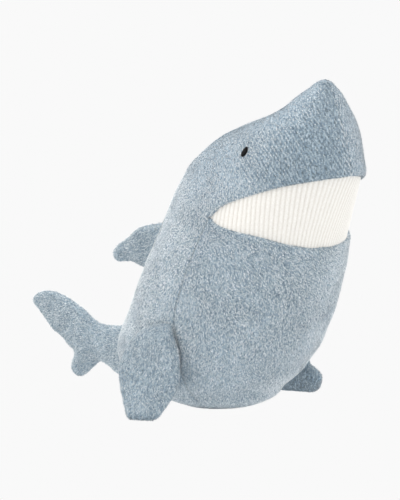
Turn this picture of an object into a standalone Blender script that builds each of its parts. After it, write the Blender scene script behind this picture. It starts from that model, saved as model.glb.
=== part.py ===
"""Sewn plush shark that sits upright, built as the separate pieces it is made of.

Frame: +Z up, the nose points along -Y, the shark's right side is -X, and the origin is
on the ground in the flat underside. Lengths are in metres, angles in degrees.

The torso is five cloth panels around loose fibre filling, with a pellet pouch low in
the base. Both side fins, the back fin and the tail are two-panel pockets with their own
filling, each hung on the torso by the seam it turns about.
"""

import math

import bmesh
import bpy
import numpy as np
from mathutils import Vector
from mathutils.geometry import delaunay_2d_cdt

# ---------------------------------------------------------------- driving dimensions

# Torso outline: height, centre (y), half depth, half width, all in millimetres.
TORSO_ROWS_MM = [
    (0.0, 0.0, 28.0, 29.0),
    (3.0, -1.0, 39.0, 38.0),
    (8.0, 0.0, 51.0, 50.0),
    (18.0, 4.5, 63.5, 63.0),
    (34.0, 5.2, 81.6, 78.5),
    (59.0, -3.9, 90.3, 87.5),
    (90.0, -18.7, 88.8, 89.0),
    (123.0, -31.7, 87.0, 87.0),
    (155.5, -44.8, 82.8, 82.0),
    (186.5, -57.5, 83.7, 74.0),
    (207.5, -67.2, 84.4, 66.3),
    (222.5, -75.5, 74.9, 63.1),
    (236.0, -83.9, 64.0, 59.1),
    (247.0, -94.8, 49.5, 53.4),
    (257.5, -107.3, 32.7, 42.6),
    (267.0, -114.6, 21.9, 31.8),
    (275.0, -117.5, 15.6, 23.5),
    (281.5, -120.0, 9.5, 15.0),
    (286.0, -120.9, 6.4, 8.6),
]
# Height in mm against the power that shapes a section's front half: 2 is an ellipse, less
# gives the ridge down the middle of the snout.
RIDGE_POWER = [(0, 2.0), (198, 2.0), (224, 1.86), (262, 1.8), (288, 1.9)]

# Seam lines, as (degrees round from the front centre, height in mm) or the reverse.
UPPER_LIP = [(0, 208.5), (22, 207.4), (38, 204.5), (52, 201), (65, 196.3), (77, 187.1), (82.5, 175)]
LOWER_LIP = [(0, 147.8), (8, 148.9), (20, 151.6), (30, 154.4), (40, 158.9), (60, 167.2), (82.5, 175)]
SIDE_SEAM = [(0, 64), (20, 65.5), (35, 67), (53, 69.5), (73.5, 76.3), (80, 79), (102, 82.5), (175, 82.5)]
MOUTH_CORNER_MM = 175.0
MOUTH_CORNER_DEG = 82.5

PLUSH = 0.0018            # thickness of the knitted plush panels
RIB_CLOTH = 0.0014        # thickness of the ribbed mouth panel
MOUTH_RECESS = 0.0034     # how far the mouth panel sits behind the lips
POUCH_CLOTH = 0.0009
SEAM_GAP = 0.0003         # room left between neighbouring pieces
BASE_INSET = 0.0012       # the base panel stops this far inside the seam round it
MOUTH_END_DEG = 80.6      # the mouth panel stops just short of the corners

BACK_COLUMNS = 10
FRONT_DEGREES = [82.5, 78, 71, 62, 50, 38, 25, 12, 0]
LOWER_ROWS_MM = [0, 3, 8, 18, 34, 53, 74, 94, 115, 135, 155, 175]
UPPER_STEPS = [0.0, 0.09, 0.19, 0.30, 0.41, 0.52, 0.63, 0.73, 0.82, 0.90, 0.96, 1.0]
MOUTH_COLUMNS = 20
MOUTH_ROWS = 5

FILLING_ROWS_MM = [17, 34, 58, 82, 106, 130, 154, 178, 200, 218, 233, 247, 260, 271, 280]
FILLING_COLUMNS = 28
FILLING_BEHIND_PANEL = 0.0036
FILLING_BEHIND_MOUTH = 0.0069

# Pellet pouch: radius and height in mm, from the bottom centre round to the top centre.
POUCH_BOTTOM_MM = [(10.0, 2.6), (25.0, 2.6), (35.0, 5.8), (44.0, 10.8), (49.0, 15.8)]
POUCH_TOP_MM = [(49.0, 16.2), (47.5, 22.0), (41.0, 27.6), (28.0, 31.6), (10.0, 33.0)]
POUCH_CENTRE_Y = 0.0020
POUCH_DEPTH_RATIO = 0.96
POUCH_COLUMNS = 24
PELLET_GAP = 0.0012       # pellets stop this far inside the pouch's outer face
FILLING_OVER_POUCH = 0.0008

# Back fin in its own plane (y, z), in mm. The first and last points lie on its root.
BACK_FIN_MM = [
    (37.1, 163.4), (52.5, 158), (68.2, 153.4), (82, 150.6), (92, 148), (99.6, 144.7),
    (109.8, 137.1), (121.3, 130.3), (127.7, 125.2), (129.7, 120.5), (127.8, 115.2),
    (122.7, 113), (117.6, 113.4), (107.4, 114.4), (101.1, 113.1), (91, 110.5),
    (78.5, 106.6), (66.1, 104.2),
]
BACK_FIN_ROOT_RADIUS = 0.0050
BACK_FIN_THICKNESS = (0.0080, 0.0052)

# Tail in its own plane (y, z), in mm. The first and last points lie on its root.
TAIL_MM = [
    (91.1, 57.5), (104.5, 56.6), (119.3, 56.2), (130.5, 54.9), (142.5, 54.7), (154.2, 57.1), (167.3, 64),
    (181.7, 70.8), (196.3, 75.9), (211, 78.1), (223.1, 76.9), (229.9, 74.4), (235.4, 70.1),
    (234.8, 63.6), (223.4, 54.5), (210.1, 42.9), (196.7, 36), (187.5, 29.1), (180.7, 24.5),
    (183.6, 17), (185, 11.3), (182.4, 6), (177.1, 2.9), (169.9, 3.8), (162.6, 8.4),
    (149.4, 18.2), (142.9, 18.9), (132.5, 15.6), (122.2, 11.3), (110.5, 9.5), (98.5, 12.5), (89.1, 20.5),
]
TAIL_ROOT_RADIUS = 0.0118
TAIL_THICKNESS = (0.0125, 0.0060)

# Side fin as it would lie flat: (y, distance down the blade), in mm.
SIDE_FIN_MM = [
    (-25, 5.3), (-19.2, 5.6), (-11, 8), (-3.9, 11.8), (2, 17), (6.1, 22.1), (11.3, 29.5),
    (13.9, 37.3), (14.7, 44), (14.1, 50.7), (9.7, 64.4), (4, 78.9), (0.7, 86.2),
    (-3, 88.2), (-13.8, 88.5), (-22.3, 87.6), (-26.4, 84.5), (-33.9, 71.4), (-38.7, 59.3),
    (-40.1, 46.5), (-39.9, 37), (-38.5, 27.8), (-34.2, 13.6), (-30.3, 7.6),
]
SIDE_FIN_TOP = (0.0938, 0.0885)       # |x| and z where the blade's distances start
SIDE_FIN_LEAN_DEG = 6.5               # how far the blade leans out from upright
SIDE_FIN_MIDDLE_Y = -0.0175
SIDE_FIN_TOE = (0.14, 0.55)           # slope of the blade toward the nose, at its top and tip
SIDE_FIN_LENGTH = 0.090
SIDE_FIN_CUP = 6.0                    # curl of the blade round the torso, per metre
SIDE_FIN_HINGE_DOWN = 0.0066          # the turning seam, down the blade
SIDE_FIN_HINGE_Y = -0.0235
SIDE_FIN_THICKNESS = (0.0062, 0.0062)

SEAM_EDGE = 0.0012        # half thickness of a pocket right at its edge seam
SOFT_EDGE = 0.0130        # a pocket reaches its full thickness this far from its edge
POCKET_CELL = 0.0110
LATTICE_CLEAR = 0.5       # cells kept between the inner ring and the lattice points
OUTLINE_STEP = 0.0065
FILLING_INSET = 0.0052
FILLING_SHARE = 0.92      # filling thickness as a share of the pocket's
CORNER_KEEP = 0.97        # a moved outline point nearer its old edge than this share is dropped

# Embroidered eyes: place on the torso and size.
EYE_DEG = 83.5
EYE_HEIGHT = 0.2297
EYE_WIDTH = 0.0050
EYE_LENGTH = 0.0090
EYE_RISE = 0.0007
EYE_LEAN_DEG = 28.0
EYE_POINTS = 20

MM = 0.001
TINY = 1e-9


# ---------------------------------------------------------------- small helpers

def through(points, at):
    """Smooth curve through (position, value) points without overshoot."""
    place = np.array([p[0] for p in points], float)
    value = np.array([p[1] for p in points], float)
    at = np.clip(np.asarray(at, float), place[0], place[-1])
    span = np.diff(place)
    slope = np.diff(value) / span
    tangent = np.zeros(len(place))
    tangent[0] = slope[0]
    tangent[-1] = slope[-1]
    for k in range(1, len(place) - 1):
        if slope[k - 1] * slope[k] > 0:
            before = 2 * span[k] + span[k - 1]
            after = span[k] + 2 * span[k - 1]
            tangent[k] = (before + after) / (before / slope[k - 1] + after / slope[k])
    k = np.clip(np.searchsorted(place, at, side="right") - 1, 0, len(place) - 2)
    t = (at - place[k]) / span[k]
    return (
        (2 * t**3 - 3 * t**2 + 1) * value[k]
        + (t**3 - 2 * t**2 + t) * span[k] * tangent[k]
        + (-2 * t**3 + 3 * t**2) * value[k + 1]
        + (t**3 - t**2) * span[k] * tangent[k + 1]
    )


def torso_point(degrees, height):
    """Point on the torso: degrees round from the front centre, positive to its left."""
    turn = np.radians(degrees)
    level = np.asarray(height, float) / MM
    centre = through([(r[0], r[1]) for r in TORSO_ROWS_MM], level) * MM
    depth = through([(r[0], r[2]) for r in TORSO_ROWS_MM], level) * MM
    width = through([(r[0], r[3]) for r in TORSO_ROWS_MM], level) * MM
    power = through(RIDGE_POWER, level)
    reach = (np.abs(np.sin(turn)) ** power + np.abs(np.cos(turn)) ** power) ** (-1.0 / power)
    reach = np.where(np.cos(turn) > 0.0, reach, 1.0)
    x = width * np.sin(turn) * reach
    y = centre - depth * np.cos(turn) * reach
    return np.stack(np.broadcast_arrays(x, y, height), axis=-1)


def torso_normal(degrees, height):
    """Outward unit normal of the torso."""
    top = TORSO_ROWS_MM[-1][0] * MM
    step = 0.0004
    low = np.clip(np.asarray(height, float) - step, 0.0, top)
    high = np.clip(np.asarray(height, float) + step, 0.0, top)
    round_it = torso_point(np.asarray(degrees) + 0.5, height) - torso_point(np.asarray(degrees) - 0.5, height)
    up_it = torso_point(degrees, high) - torso_point(degrees, low)
    normal = np.cross(round_it, up_it)
    return normal / np.maximum(np.linalg.norm(normal, axis=-1, keepdims=True), TINY)


def cloth_material(name, colour, roughness):
    material = bpy.data.materials.new(name)
    material.use_nodes = True
    surface = material.node_tree.nodes["Principled BSDF"]
    surface.inputs["Base Color"].default_value = (*colour, 1.0)
    surface.inputs["Roughness"].default_value = roughness
    return material


def keep(name, mesh_data, material, origin=(0.0, 0.0, 0.0)):
    """Turn finished geometry into a named object with its origin where it turns."""
    bmesh.ops.recalc_face_normals(mesh_data, faces=mesh_data.faces[:])
    bmesh.ops.translate(mesh_data, verts=mesh_data.verts[:], vec=-Vector(origin))
    mesh = bpy.data.meshes.new(name)
    mesh_data.to_mesh(mesh)
    mesh_data.free()
    mesh.polygons.foreach_set("use_smooth", [True] * len(mesh.polygons))
    mesh.set_sharp_from_angle(angle=math.radians(50))
    mesh.materials.append(material)
    piece = bpy.data.objects.new(name, mesh)
    piece.location = origin
    bpy.context.scene.collection.objects.link(piece)
    return piece


def closed_shell(name, outer, inner, faces, material, origin=(0.0, 0.0, 0.0)):
    """Close the space between two matching skins with a wall round every open edge."""
    shell = bmesh.new()
    top = [shell.verts.new(p) for p in outer]
    under = [shell.verts.new(p) for p in inner]
    edge_uses = {}
    for face in faces:
        shell.faces.new([top[k] for k in face])
        shell.faces.new([under[k] for k in reversed(face)])
        for a, b in zip(face, list(face[1:]) + [face[0]]):
            edge_uses.setdefault(frozenset((a, b)), []).append((a, b))
    for uses in edge_uses.values():
        if len(uses) == 1:
            a, b = uses[0]
            shell.faces.new([top[b], top[a], under[a], under[b]])
    return keep(name, shell, material, origin)


def grid_faces(index):
    """Quads over a table of vertex numbers."""
    faces = []
    for row in range(len(index) - 1):
        for column in range(len(index[row]) - 1):
            faces.append([
                index[row][column],
                index[row][column + 1],
                index[row + 1][column + 1],
                index[row + 1][column],
            ])
    return faces


# ---------------------------------------------------------------- torso panels

def side_panel(name, side, material):
    """Back, flank and snout on one side: side is -1 for the shark's right."""
    top = TORSO_ROWS_MM[-1][0]
    half_gap_mm = SEAM_GAP / MM / 2
    places = []
    index = []
    for level in LOWER_ROWS_MM:
        seam = float(through(SIDE_SEAM, level))
        width = float(torso_point(90.0, level * MM)[0])
        seam += math.degrees(SEAM_GAP / 2 / width)
        row = []
        for column in range(BACK_COLUMNS + 1):
            row.append(len(places))
            places.append((180.0 + (seam - 180.0) * column / BACK_COLUMNS, level))
        index.append(row)
    faces = grid_faces(index)
    back_turns = [places[k][0] for k in index[-1]]
    snout_turns = back_turns + [float(d) for d in FRONT_DEGREES[1:]]
    upper = []
    for step in UPPER_STEPS:
        row = []
        for column, turn in enumerate(snout_turns):
            if step == 0.0 and column <= BACK_COLUMNS:
                row.append(index[-1][column])
                continue
            start = MOUTH_CORNER_MM
            if column > BACK_COLUMNS:
                start = float(through(UPPER_LIP, turn)) + half_gap_mm
            row.append(len(places))
            places.append((turn, start + (top - start) * step))
        upper.append(row)
    faces += grid_faces(upper)
    turns = np.array([p[0] for p in places])
    levels = np.array([p[1] for p in places]) * MM
    outer = torso_point(turns, levels)
    inner = outer - torso_normal(turns, levels) * PLUSH
    inner[:, 2] = np.minimum(inner[:, 2], top * MM)
    for skin in (outer, inner):
        skin[:, 0] = np.maximum(skin[:, 0], SEAM_GAP / 2) * side
    closed_shell(name, outer, inner, faces, material)


def belly_panel(name, material):
    """Front panel from the base seam up to the lower lip, between the side seams."""
    columns = 2 * (len(FRONT_DEGREES) - 1)
    places = []
    index = []
    for level in LOWER_ROWS_MM:
        share = level / MOUTH_CORNER_MM
        width = float(torso_point(90.0, level * MM)[0])
        seam = float(through(SIDE_SEAM, level)) - math.degrees(SEAM_GAP / 2 / width)
        row = []
        for column in range(columns + 1):
            across = 2.0 * column / columns - 1.0
            lip = float(through(LOWER_LIP, MOUTH_CORNER_DEG * abs(across)))
            row.append(len(places))
            places.append((seam * across, lip * share))
        index.append(row)
    turns = np.array([p[0] for p in places])
    levels = np.array([p[1] for p in places]) * MM
    outer = torso_point(turns, levels)
    inner = outer - torso_normal(turns, levels) * PLUSH
    closed_shell(name, outer, inner, grid_faces(index), material)


def mouth_panel(name, material):
    """Ribbed band between the lips, set back behind them."""
    places = []
    index = []
    for step in range(MOUTH_ROWS + 1):
        row = []
        for column in range(MOUTH_COLUMNS + 1):
            turn = MOUTH_END_DEG * (2.0 * column / MOUTH_COLUMNS - 1.0)
            low = float(through(LOWER_LIP, abs(turn))) + SEAM_GAP / MM
            high = float(through(UPPER_LIP, abs(turn))) - SEAM_GAP / MM
            row.append(len(places))
            places.append((turn, low + (high - low) * step / MOUTH_ROWS))
        index.append(row)
    turns = np.array([p[0] for p in places])
    levels = np.array([p[1] for p in places]) * MM
    normal = torso_normal(turns, levels)
    outer = torso_point(turns, levels) - normal * MOUTH_RECESS
    inner = outer - normal * RIB_CLOTH
    closed_shell(name, outer, inner, grid_faces(index), material)


def base_panel(name, material):
    """Flat oval underside that the shark sits on."""
    columns = POUCH_COLUMNS
    points = []
    index = []
    for share in (0.25, 0.6, 1.0):
        row = []
        for column in range(columns):
            turn = math.tau * column / columns
            centre = TORSO_ROWS_MM[0][1] * MM
            depth = TORSO_ROWS_MM[0][2] * MM - BASE_INSET
            width = TORSO_ROWS_MM[0][3] * MM - BASE_INSET
            row.append(len(points))
            points.append((share * width * math.sin(turn), centre - share * depth * math.cos(turn), 0.0))
        row.append(row[0])
        index.append(row)
    faces = grid_faces(index) + [index[0][:-1]]
    upper = [(x, y, PLUSH) for x, y, z in points]
    closed_shell(name, points, upper, faces, material)


# ---------------------------------------------------------------- torso contents

def torso_filling(name, material):
    """Loose fibre that fills the torso down to and around the pellet pouch."""
    points = []
    index = []
    turns = np.arange(FILLING_COLUMNS) * 360.0 / FILLING_COLUMNS
    front = 0.5 + 0.5 * np.clip(np.cos(np.radians(turns)) * 4.0 + 1.0, -1.0, 1.0)
    depth = FILLING_BEHIND_PANEL + (FILLING_BEHIND_MOUTH - FILLING_BEHIND_PANEL) * front
    for x, y, z in pouch_ring(POUCH_TOP_MM[-1], FILLING_OVER_POUCH, turns):
        points.append((x, y, z))
    index.append(list(range(len(turns))))
    for ring in reversed(POUCH_TOP_MM[:-1]):
        index.append([len(points) + k for k in range(len(turns))])
        points += [tuple(p) for p in pouch_ring(ring, FILLING_OVER_POUCH, turns)]
    for level in FILLING_ROWS_MM:
        index.append([len(points) + k for k in range(len(turns))])
        levels = np.full(len(turns), level * MM)
        skin = torso_point(turns, levels) - torso_normal(turns, levels) * depth[:, None]
        points += [tuple(p) for p in skin]
    filling = bmesh.new()
    verts = [filling.verts.new(p) for p in points]
    loops = [row + [row[0]] for row in index]
    for face in grid_faces(loops) + [index[0], index[-1]]:
        filling.faces.new([verts[k] for k in face])
    keep(name, filling, material)


def pouch_ring(ring, grow, turns):
    """One oval ring of the pouch, moved outward and upward by grow."""
    radius = ring[0] * MM + grow
    angle = np.radians(turns)
    x = radius * np.sin(angle)
    y = POUCH_CENTRE_Y - radius * POUCH_DEPTH_RATIO * np.cos(angle)
    return np.stack([x, y, np.full(len(turns), ring[1] * MM + grow)], axis=-1)


def pouch_half(name, rings, inward, material):
    """One cloth half of the pouch: inward is +1 for the bottom half, -1 for the top."""
    turns = np.arange(POUCH_COLUMNS) * 360.0 / POUCH_COLUMNS
    outer = []
    inner = []
    index = []
    for ring in rings:
        row = [len(outer) + k for k in range(POUCH_COLUMNS)]
        index.append(row + [row[0]])
        skin = pouch_ring(ring, 0.0, turns)
        lining = skin.copy()
        at_seam = ring[1] in (POUCH_BOTTOM_MM[-1][1], POUCH_TOP_MM[0][1])
        lining[:, 2] += 0.0 if at_seam else inward * POUCH_CLOTH
        shrink = 1.0 - POUCH_CLOTH / (ring[0] * MM)
        lining[:, 0] *= shrink
        lining[:, 1] = POUCH_CENTRE_Y + (lining[:, 1] - POUCH_CENTRE_Y) * shrink
        outer += [tuple(p) for p in skin]
        inner += [tuple(p) for p in lining]
    faces = grid_faces(index)
    cap = index[0] if inward > 0 else index[-1]
    faces.append(cap[:-1])
    closed_shell(name, outer, inner, faces, material)


def pellets(name, material):
    """Pellets taken as one settled mass inside the pouch."""
    turns = np.arange(POUCH_COLUMNS) * 360.0 / POUCH_COLUMNS
    filling = bmesh.new()
    loops = []
    middle = (POUCH_BOTTOM_MM[-1][1] + POUCH_TOP_MM[0][1]) / 2 * MM
    for radius, level in POUCH_BOTTOM_MM + POUCH_TOP_MM[1:]:
        skin = pouch_ring((radius, level), -PELLET_GAP, turns)
        skin[:, 2] += PELLET_GAP
        toward = middle - skin[0, 2]
        skin[:, 2] += math.copysign(min(PELLET_GAP, abs(toward)), toward)
        ring = [filling.verts.new(p) for p in skin]
        loops.append(ring + [ring[0]])
    for low, high in zip(loops[:-1], loops[1:]):
        for k in range(POUCH_COLUMNS):
            filling.faces.new([low[k], low[k + 1], high[k + 1], high[k]])
    filling.faces.new(loops[0][:-1])
    filling.faces.new(loops[-1][:-1])
    keep(name, filling, material)


def eye(name, side, material):
    """Slanted satin-stitch oval standing just off the head."""
    lean = math.radians(EYE_LEAN_DEG)
    middle = torso_point(EYE_DEG, EYE_HEIGHT)
    normal = Vector(torso_normal(EYE_DEG, EYE_HEIGHT))
    up = (Vector((0, 0, 1)) - normal * normal.z).normalized()
    along = normal.cross(up)
    outer = []
    inner = []
    index = []
    for share, rise in ((0.35, 1.0), (0.75, 0.75), (1.0, 0.35)):
        row = []
        for k in range(EYE_POINTS):
            turn = math.tau * k / EYE_POINTS
            u = share * EYE_WIDTH / 2 * math.cos(turn)
            v = share * EYE_LENGTH / 2 * math.sin(turn)
            across = u * math.cos(lean) + v * math.sin(lean)
            rise_up = v * math.cos(lean) - u * math.sin(lean)
            spot = Vector(middle) + along * across + up * rise_up
            row.append(len(outer))
            inner.append(spot + normal * SEAM_GAP)
            outer.append(spot + normal * (SEAM_GAP + EYE_RISE * rise + TINY))
        row.append(row[0])
        index.append(row)
    faces = grid_faces(index) + [index[0][:-1]]
    outer = [(p.x * side, p.y, p.z) for p in outer]
    inner = [(p.x * side, p.y, p.z) for p in inner]
    closed_shell(name, outer, inner, faces, material)


# ---------------------------------------------------------------- two-panel pockets

def smooth_outline(points_mm, open_root):
    """Evenly spaced outline through the given points; an open root stays straight."""
    points = [np.array(p, float) * MM for p in points_mm]
    count = len(points)
    fine = []
    last = count - 1 if open_root else count
    for k in range(last):
        p1 = points[k]
        p2 = points[(k + 1) % count]
        p0 = points[k - 1] if k > 0 or not open_root else 2 * p1 - p2
        p3 = points[(k + 2) % count] if k + 2 < count or not open_root else 2 * p2 - p1
        for t in np.linspace(0.0, 1.0, 12, endpoint=False):
            fine.append(0.5 * (
                2 * p1 + (p2 - p0) * t + (2 * p0 - 5 * p1 + 4 * p2 - p3) * t**2
                + (3 * p1 - p0 - 3 * p2 + p3) * t**3
            ))
    if open_root:
        fine.append(points[-1])
    else:
        fine.append(points[0])
    fine = np.array(fine)
    run = np.concatenate([[0.0], np.cumsum(np.linalg.norm(np.diff(fine, axis=0), axis=1))])
    steps = max(8, int(run[-1] / OUTLINE_STEP))
    at = np.linspace(0.0, run[-1], steps + 1)
    even = np.stack([np.interp(at, run, fine[:, 0]), np.interp(at, run, fine[:, 1])], axis=-1)
    if not open_root:
        return even[:-1]
    root_length = np.linalg.norm(even[-1] - even[0])
    root_steps = max(2, int(root_length / OUTLINE_STEP))
    root = [even[-1] + (even[0] - even[-1]) * k / root_steps for k in range(1, root_steps)]
    return np.concatenate([even, np.array(root)])


def edge_distance(spots, line):
    """Distance from each spot to a chain of points."""
    best = np.full(len(spots), 1e9)
    for a, b in zip(line[:-1], line[1:]):
        run = b - a
        t = np.clip(((spots - a) @ run) / max(run @ run, TINY), 0.0, 1.0)
        best = np.minimum(best, np.linalg.norm(spots - (a + t[:, None] * run), axis=1))
    return best


def inside(spots, outline):
    """True for spots inside a closed outline."""
    hit = np.zeros(len(spots), bool)
    for a, b in zip(outline, np.roll(outline, -1, axis=0)):
        crosses = (a[1] > spots[:, 1]) != (b[1] > spots[:, 1])
        x = (b[0] - a[0]) * (spots[:, 1] - a[1]) / (b[1] - a[1] + TINY) + a[0]
        hit ^= crosses & (spots[:, 0] < x)
    return hit


def filled(outline, cell, rings):
    """Triangles over the region inside an outline, through the given inner rings too."""
    line = cell * math.sqrt(3) / 2
    first = np.floor(outline.min(axis=0) / (cell, line)).astype(int)
    last = np.ceil(outline.max(axis=0) / (cell, line)).astype(int)
    spots = []
    for row in range(first[1], last[1] + 1):
        for column in range(first[0] - 1, last[0] + 1):
            spots.append((cell * (column + (row % 2) / 2), line * row))
    spots = np.array(spots)
    innermost = rings[-1] if rings else outline
    ring = np.concatenate([innermost, innermost[:1]])
    clear = edge_distance(spots, ring) > cell * LATTICE_CLEAR
    spots = spots[inside(spots, innermost) & clear]
    points = [Vector(p) for p in np.concatenate([outline, *rings, spots])]
    ring_numbers = list(range(len(outline)))
    edges = list(zip(ring_numbers, ring_numbers[1:] + ring_numbers[:1]))
    made = delaunay_2d_cdt(points, edges, [ring_numbers], 1, 1e-7)
    return np.array([tuple(p) for p in made[0]]), [list(f) for f in made[2]]


def pocket_heights(spots, outline, root, root_radius, thickness, reach):
    """Half thickness of a stuffed pocket at each spot."""
    if root is None:
        free_edge = np.concatenate([outline, outline[:1]])
        cap = np.ones(len(spots))
        along = np.zeros(len(spots))
    else:
        free_edge = outline
        to_root = edge_distance(spots, np.array(root))
        near = np.clip(to_root / root_radius, 0.0, 1.0)
        cap = np.sqrt(1.0 - (1.0 - near) ** 2)
        along = np.clip(to_root / reach, 0.0, 1.0)
    near = np.clip(edge_distance(spots, free_edge) / SOFT_EDGE, 0.0, 1.0)
    full = thickness[0] + (thickness[1] - thickness[0]) * along
    rise = full * np.sqrt(1.0 - (1.0 - near) ** 2)
    return SEAM_EDGE + (rise - SEAM_EDGE * near) * cap


def inset_outline(outline, distance):
    """The same outline moved inward."""
    ahead = np.roll(outline, -1, axis=0) - np.roll(outline, 1, axis=0)
    ahead /= np.linalg.norm(ahead, axis=1, keepdims=True)
    area = 0.5 * np.sum(outline[:, 0] * np.roll(outline[:, 1], -1) - outline[:, 1] * np.roll(outline[:, 0], -1))
    inward = np.stack([-ahead[:, 1], ahead[:, 0]], axis=-1) * math.copysign(1.0, area)
    moved = outline + inward * distance
    ring = np.concatenate([outline, outline[:1]])
    clear = edge_distance(moved, ring) > distance * CORNER_KEEP
    return moved[clear]


def pocket(prefix, names, shape, place, origin, cloth, fibre):
    """Two cloth panels and the filling between them.

    names holds the words for the +n and -n panels; place maps (u, v, n) to the frame.
    """
    outline = smooth_outline(shape["points"], shape["root_radius"] is not None)
    root = None
    if shape["root_radius"] is not None:
        root = [np.array(shape["points"][-1]) * MM, np.array(shape["points"][0]) * MM]
    free_edge_count = len(outline)
    if root is not None:
        free_edge_count = len(outline) - max(1, int(np.linalg.norm(root[1] - root[0]) / OUTLINE_STEP)) + 1
    free_edge = outline[:free_edge_count]

    def heights(spots):
        edge = outline if root is None else free_edge
        return pocket_heights(
            spots, edge, root, shape["root_radius"], shape["thickness"], shape["reach"]
        )

    core = inset_outline(outline, FILLING_INSET)
    spots, faces = filled(outline, POCKET_CELL, [inset_outline(outline, FILLING_INSET / 2), core])
    rise = heights(spots)
    lining = np.maximum(rise - PLUSH, SEAM_GAP / 2)
    for word, sign in zip(names, (1.0, -1.0)):
        outer = [place(u, v, sign * h) for (u, v), h in zip(spots, rise)]
        inner = [place(u, v, sign * h) for (u, v), h in zip(spots, lining)]
        closed_shell(f"{prefix}_{word}", outer, inner, faces, cloth, origin)

    spots, faces = filled(core, POCKET_CELL, [])
    depth = np.maximum(heights(spots) * FILLING_SHARE - PLUSH - SEAM_GAP * 2, SEAM_GAP)
    upper = [place(u, v, h) for (u, v), h in zip(spots, depth)]
    lower = [place(u, v, -h) for (u, v), h in zip(spots, depth)]
    closed_shell(f"{prefix}_filling", upper, lower, faces, fibre, origin)


def upright_plane(u, v, n):
    """The shark's middle plane: u is y, v is z, n is toward its left."""
    return (n, u, v)


def fin_plane(side):
    """Blade of a side fin: u is y, v runs down it, n is away from the torso.

    The blade leans out toward its tip, turns its front edge in toward the nose, more so
    lower down, and curls a little round the torso.
    """
    lean = math.radians(SIDE_FIN_LEAN_DEG)
    top_x, top_z = SIDE_FIN_TOP
    toe_top, toe_tip = SIDE_FIN_TOE

    def place(u, v, n):
        along = u - SIDE_FIN_MIDDLE_Y
        toe = toe_top + (toe_tip - toe_top) * v / SIDE_FIN_LENGTH
        slope = toe - 2.0 * SIDE_FIN_CUP * along
        out = Vector((1.0, -slope, math.tan(lean))).normalized() * n
        x = top_x + v * math.sin(lean) + toe * along - SIDE_FIN_CUP * along**2
        return ((x + out.x) * side, u + out.y, top_z - v * math.cos(lean) + out.z)

    return place


# ---------------------------------------------------------------- assembly

for leftover in list(bpy.data.objects):
    bpy.data.objects.remove(leftover, do_unlink=True)

plush = cloth_material("blue_grey_plush", (0.34, 0.41, 0.47), 0.95)
rib = cloth_material("cream_rib_knit", (0.90, 0.87, 0.81), 0.95)
fibre = cloth_material("white_fibre_filling", (0.90, 0.90, 0.88), 1.0)
lining_cloth = cloth_material("pouch_lining", (0.80, 0.80, 0.77), 0.9)
pellet = cloth_material("glass_pellets", (0.72, 0.76, 0.78), 0.35)
thread = cloth_material("black_thread", (0.012, 0.012, 0.014), 0.55)

side_panel("side_panel_right", -1.0, plush)
side_panel("side_panel_left", 1.0, plush)
belly_panel("belly_panel", plush)
mouth_panel("mouth_panel", rib)
base_panel("base_panel", plush)
torso_filling("torso_filling", fibre)
pouch_half("pellet_pouch_bottom", POUCH_BOTTOM_MM, 1.0, lining_cloth)
pouch_half("pellet_pouch_top", POUCH_TOP_MM, -1.0, lining_cloth)
pellets("pellet_fill", pellet)
eye("eye_right", -1.0, thread)
eye("eye_left", 1.0, thread)

back_root = [np.array(BACK_FIN_MM[0]) * MM, np.array(BACK_FIN_MM[-1]) * MM]
back_middle = (back_root[0] + back_root[1]) / 2
back_run = (back_root[1] - back_root[0]) / np.linalg.norm(back_root[1] - back_root[0])
back_hinge = back_middle + np.array([-back_run[1], back_run[0]]) * BACK_FIN_ROOT_RADIUS
pocket(
    "back_fin",
    ("panel_left", "panel_right"),
    {
        "points": BACK_FIN_MM,
        "root_radius": BACK_FIN_ROOT_RADIUS,
        "thickness": BACK_FIN_THICKNESS,
        "reach": 0.085,
    },
    upright_plane,
    (0.0, float(back_hinge[0]), float(back_hinge[1])),
    plush,
    fibre,
)

pocket(
    "tail",
    ("panel_left", "panel_right"),
    {
        "points": TAIL_MM,
        "root_radius": TAIL_ROOT_RADIUS,
        "thickness": TAIL_THICKNESS,
        "reach": 0.145,
    },
    upright_plane,
    (0.0, TAIL_MM[0][0] * MM + TAIL_ROOT_RADIUS, (TAIL_MM[0][1] + TAIL_MM[-1][1]) / 2 * MM),
    plush,
    fibre,
)

for word, side in (("right", -1.0), ("left", 1.0)):
    place = fin_plane(side)
    pocket(
        f"{word}_fin",
        ("outer_panel", "inner_panel"),
        {
            "points": SIDE_FIN_MM,
            "root_radius": None,
            "thickness": SIDE_FIN_THICKNESS,
            "reach": 1.0,
        },
        place,
        place(SIDE_FIN_HINGE_Y, SIDE_FIN_HINGE_DOWN, 0.0),
        plush,
        fibre,
    )
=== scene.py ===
"""Looks of the plush shark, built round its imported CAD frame.

Frame: +Z up, nose along -Y, the shark's right side is -X, lengths in metres.
Cloth panels are closed skins with turned-in seam edges; the short pile on them is real
fibres; the mouth band is ribbed cloth; fins and tail are stuffed two-panel pockets.
"""
import math

import bmesh
import bpy
import numpy as np
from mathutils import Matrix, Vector, noise
from mathutils.geometry import delaunay_2d_cdt


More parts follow.
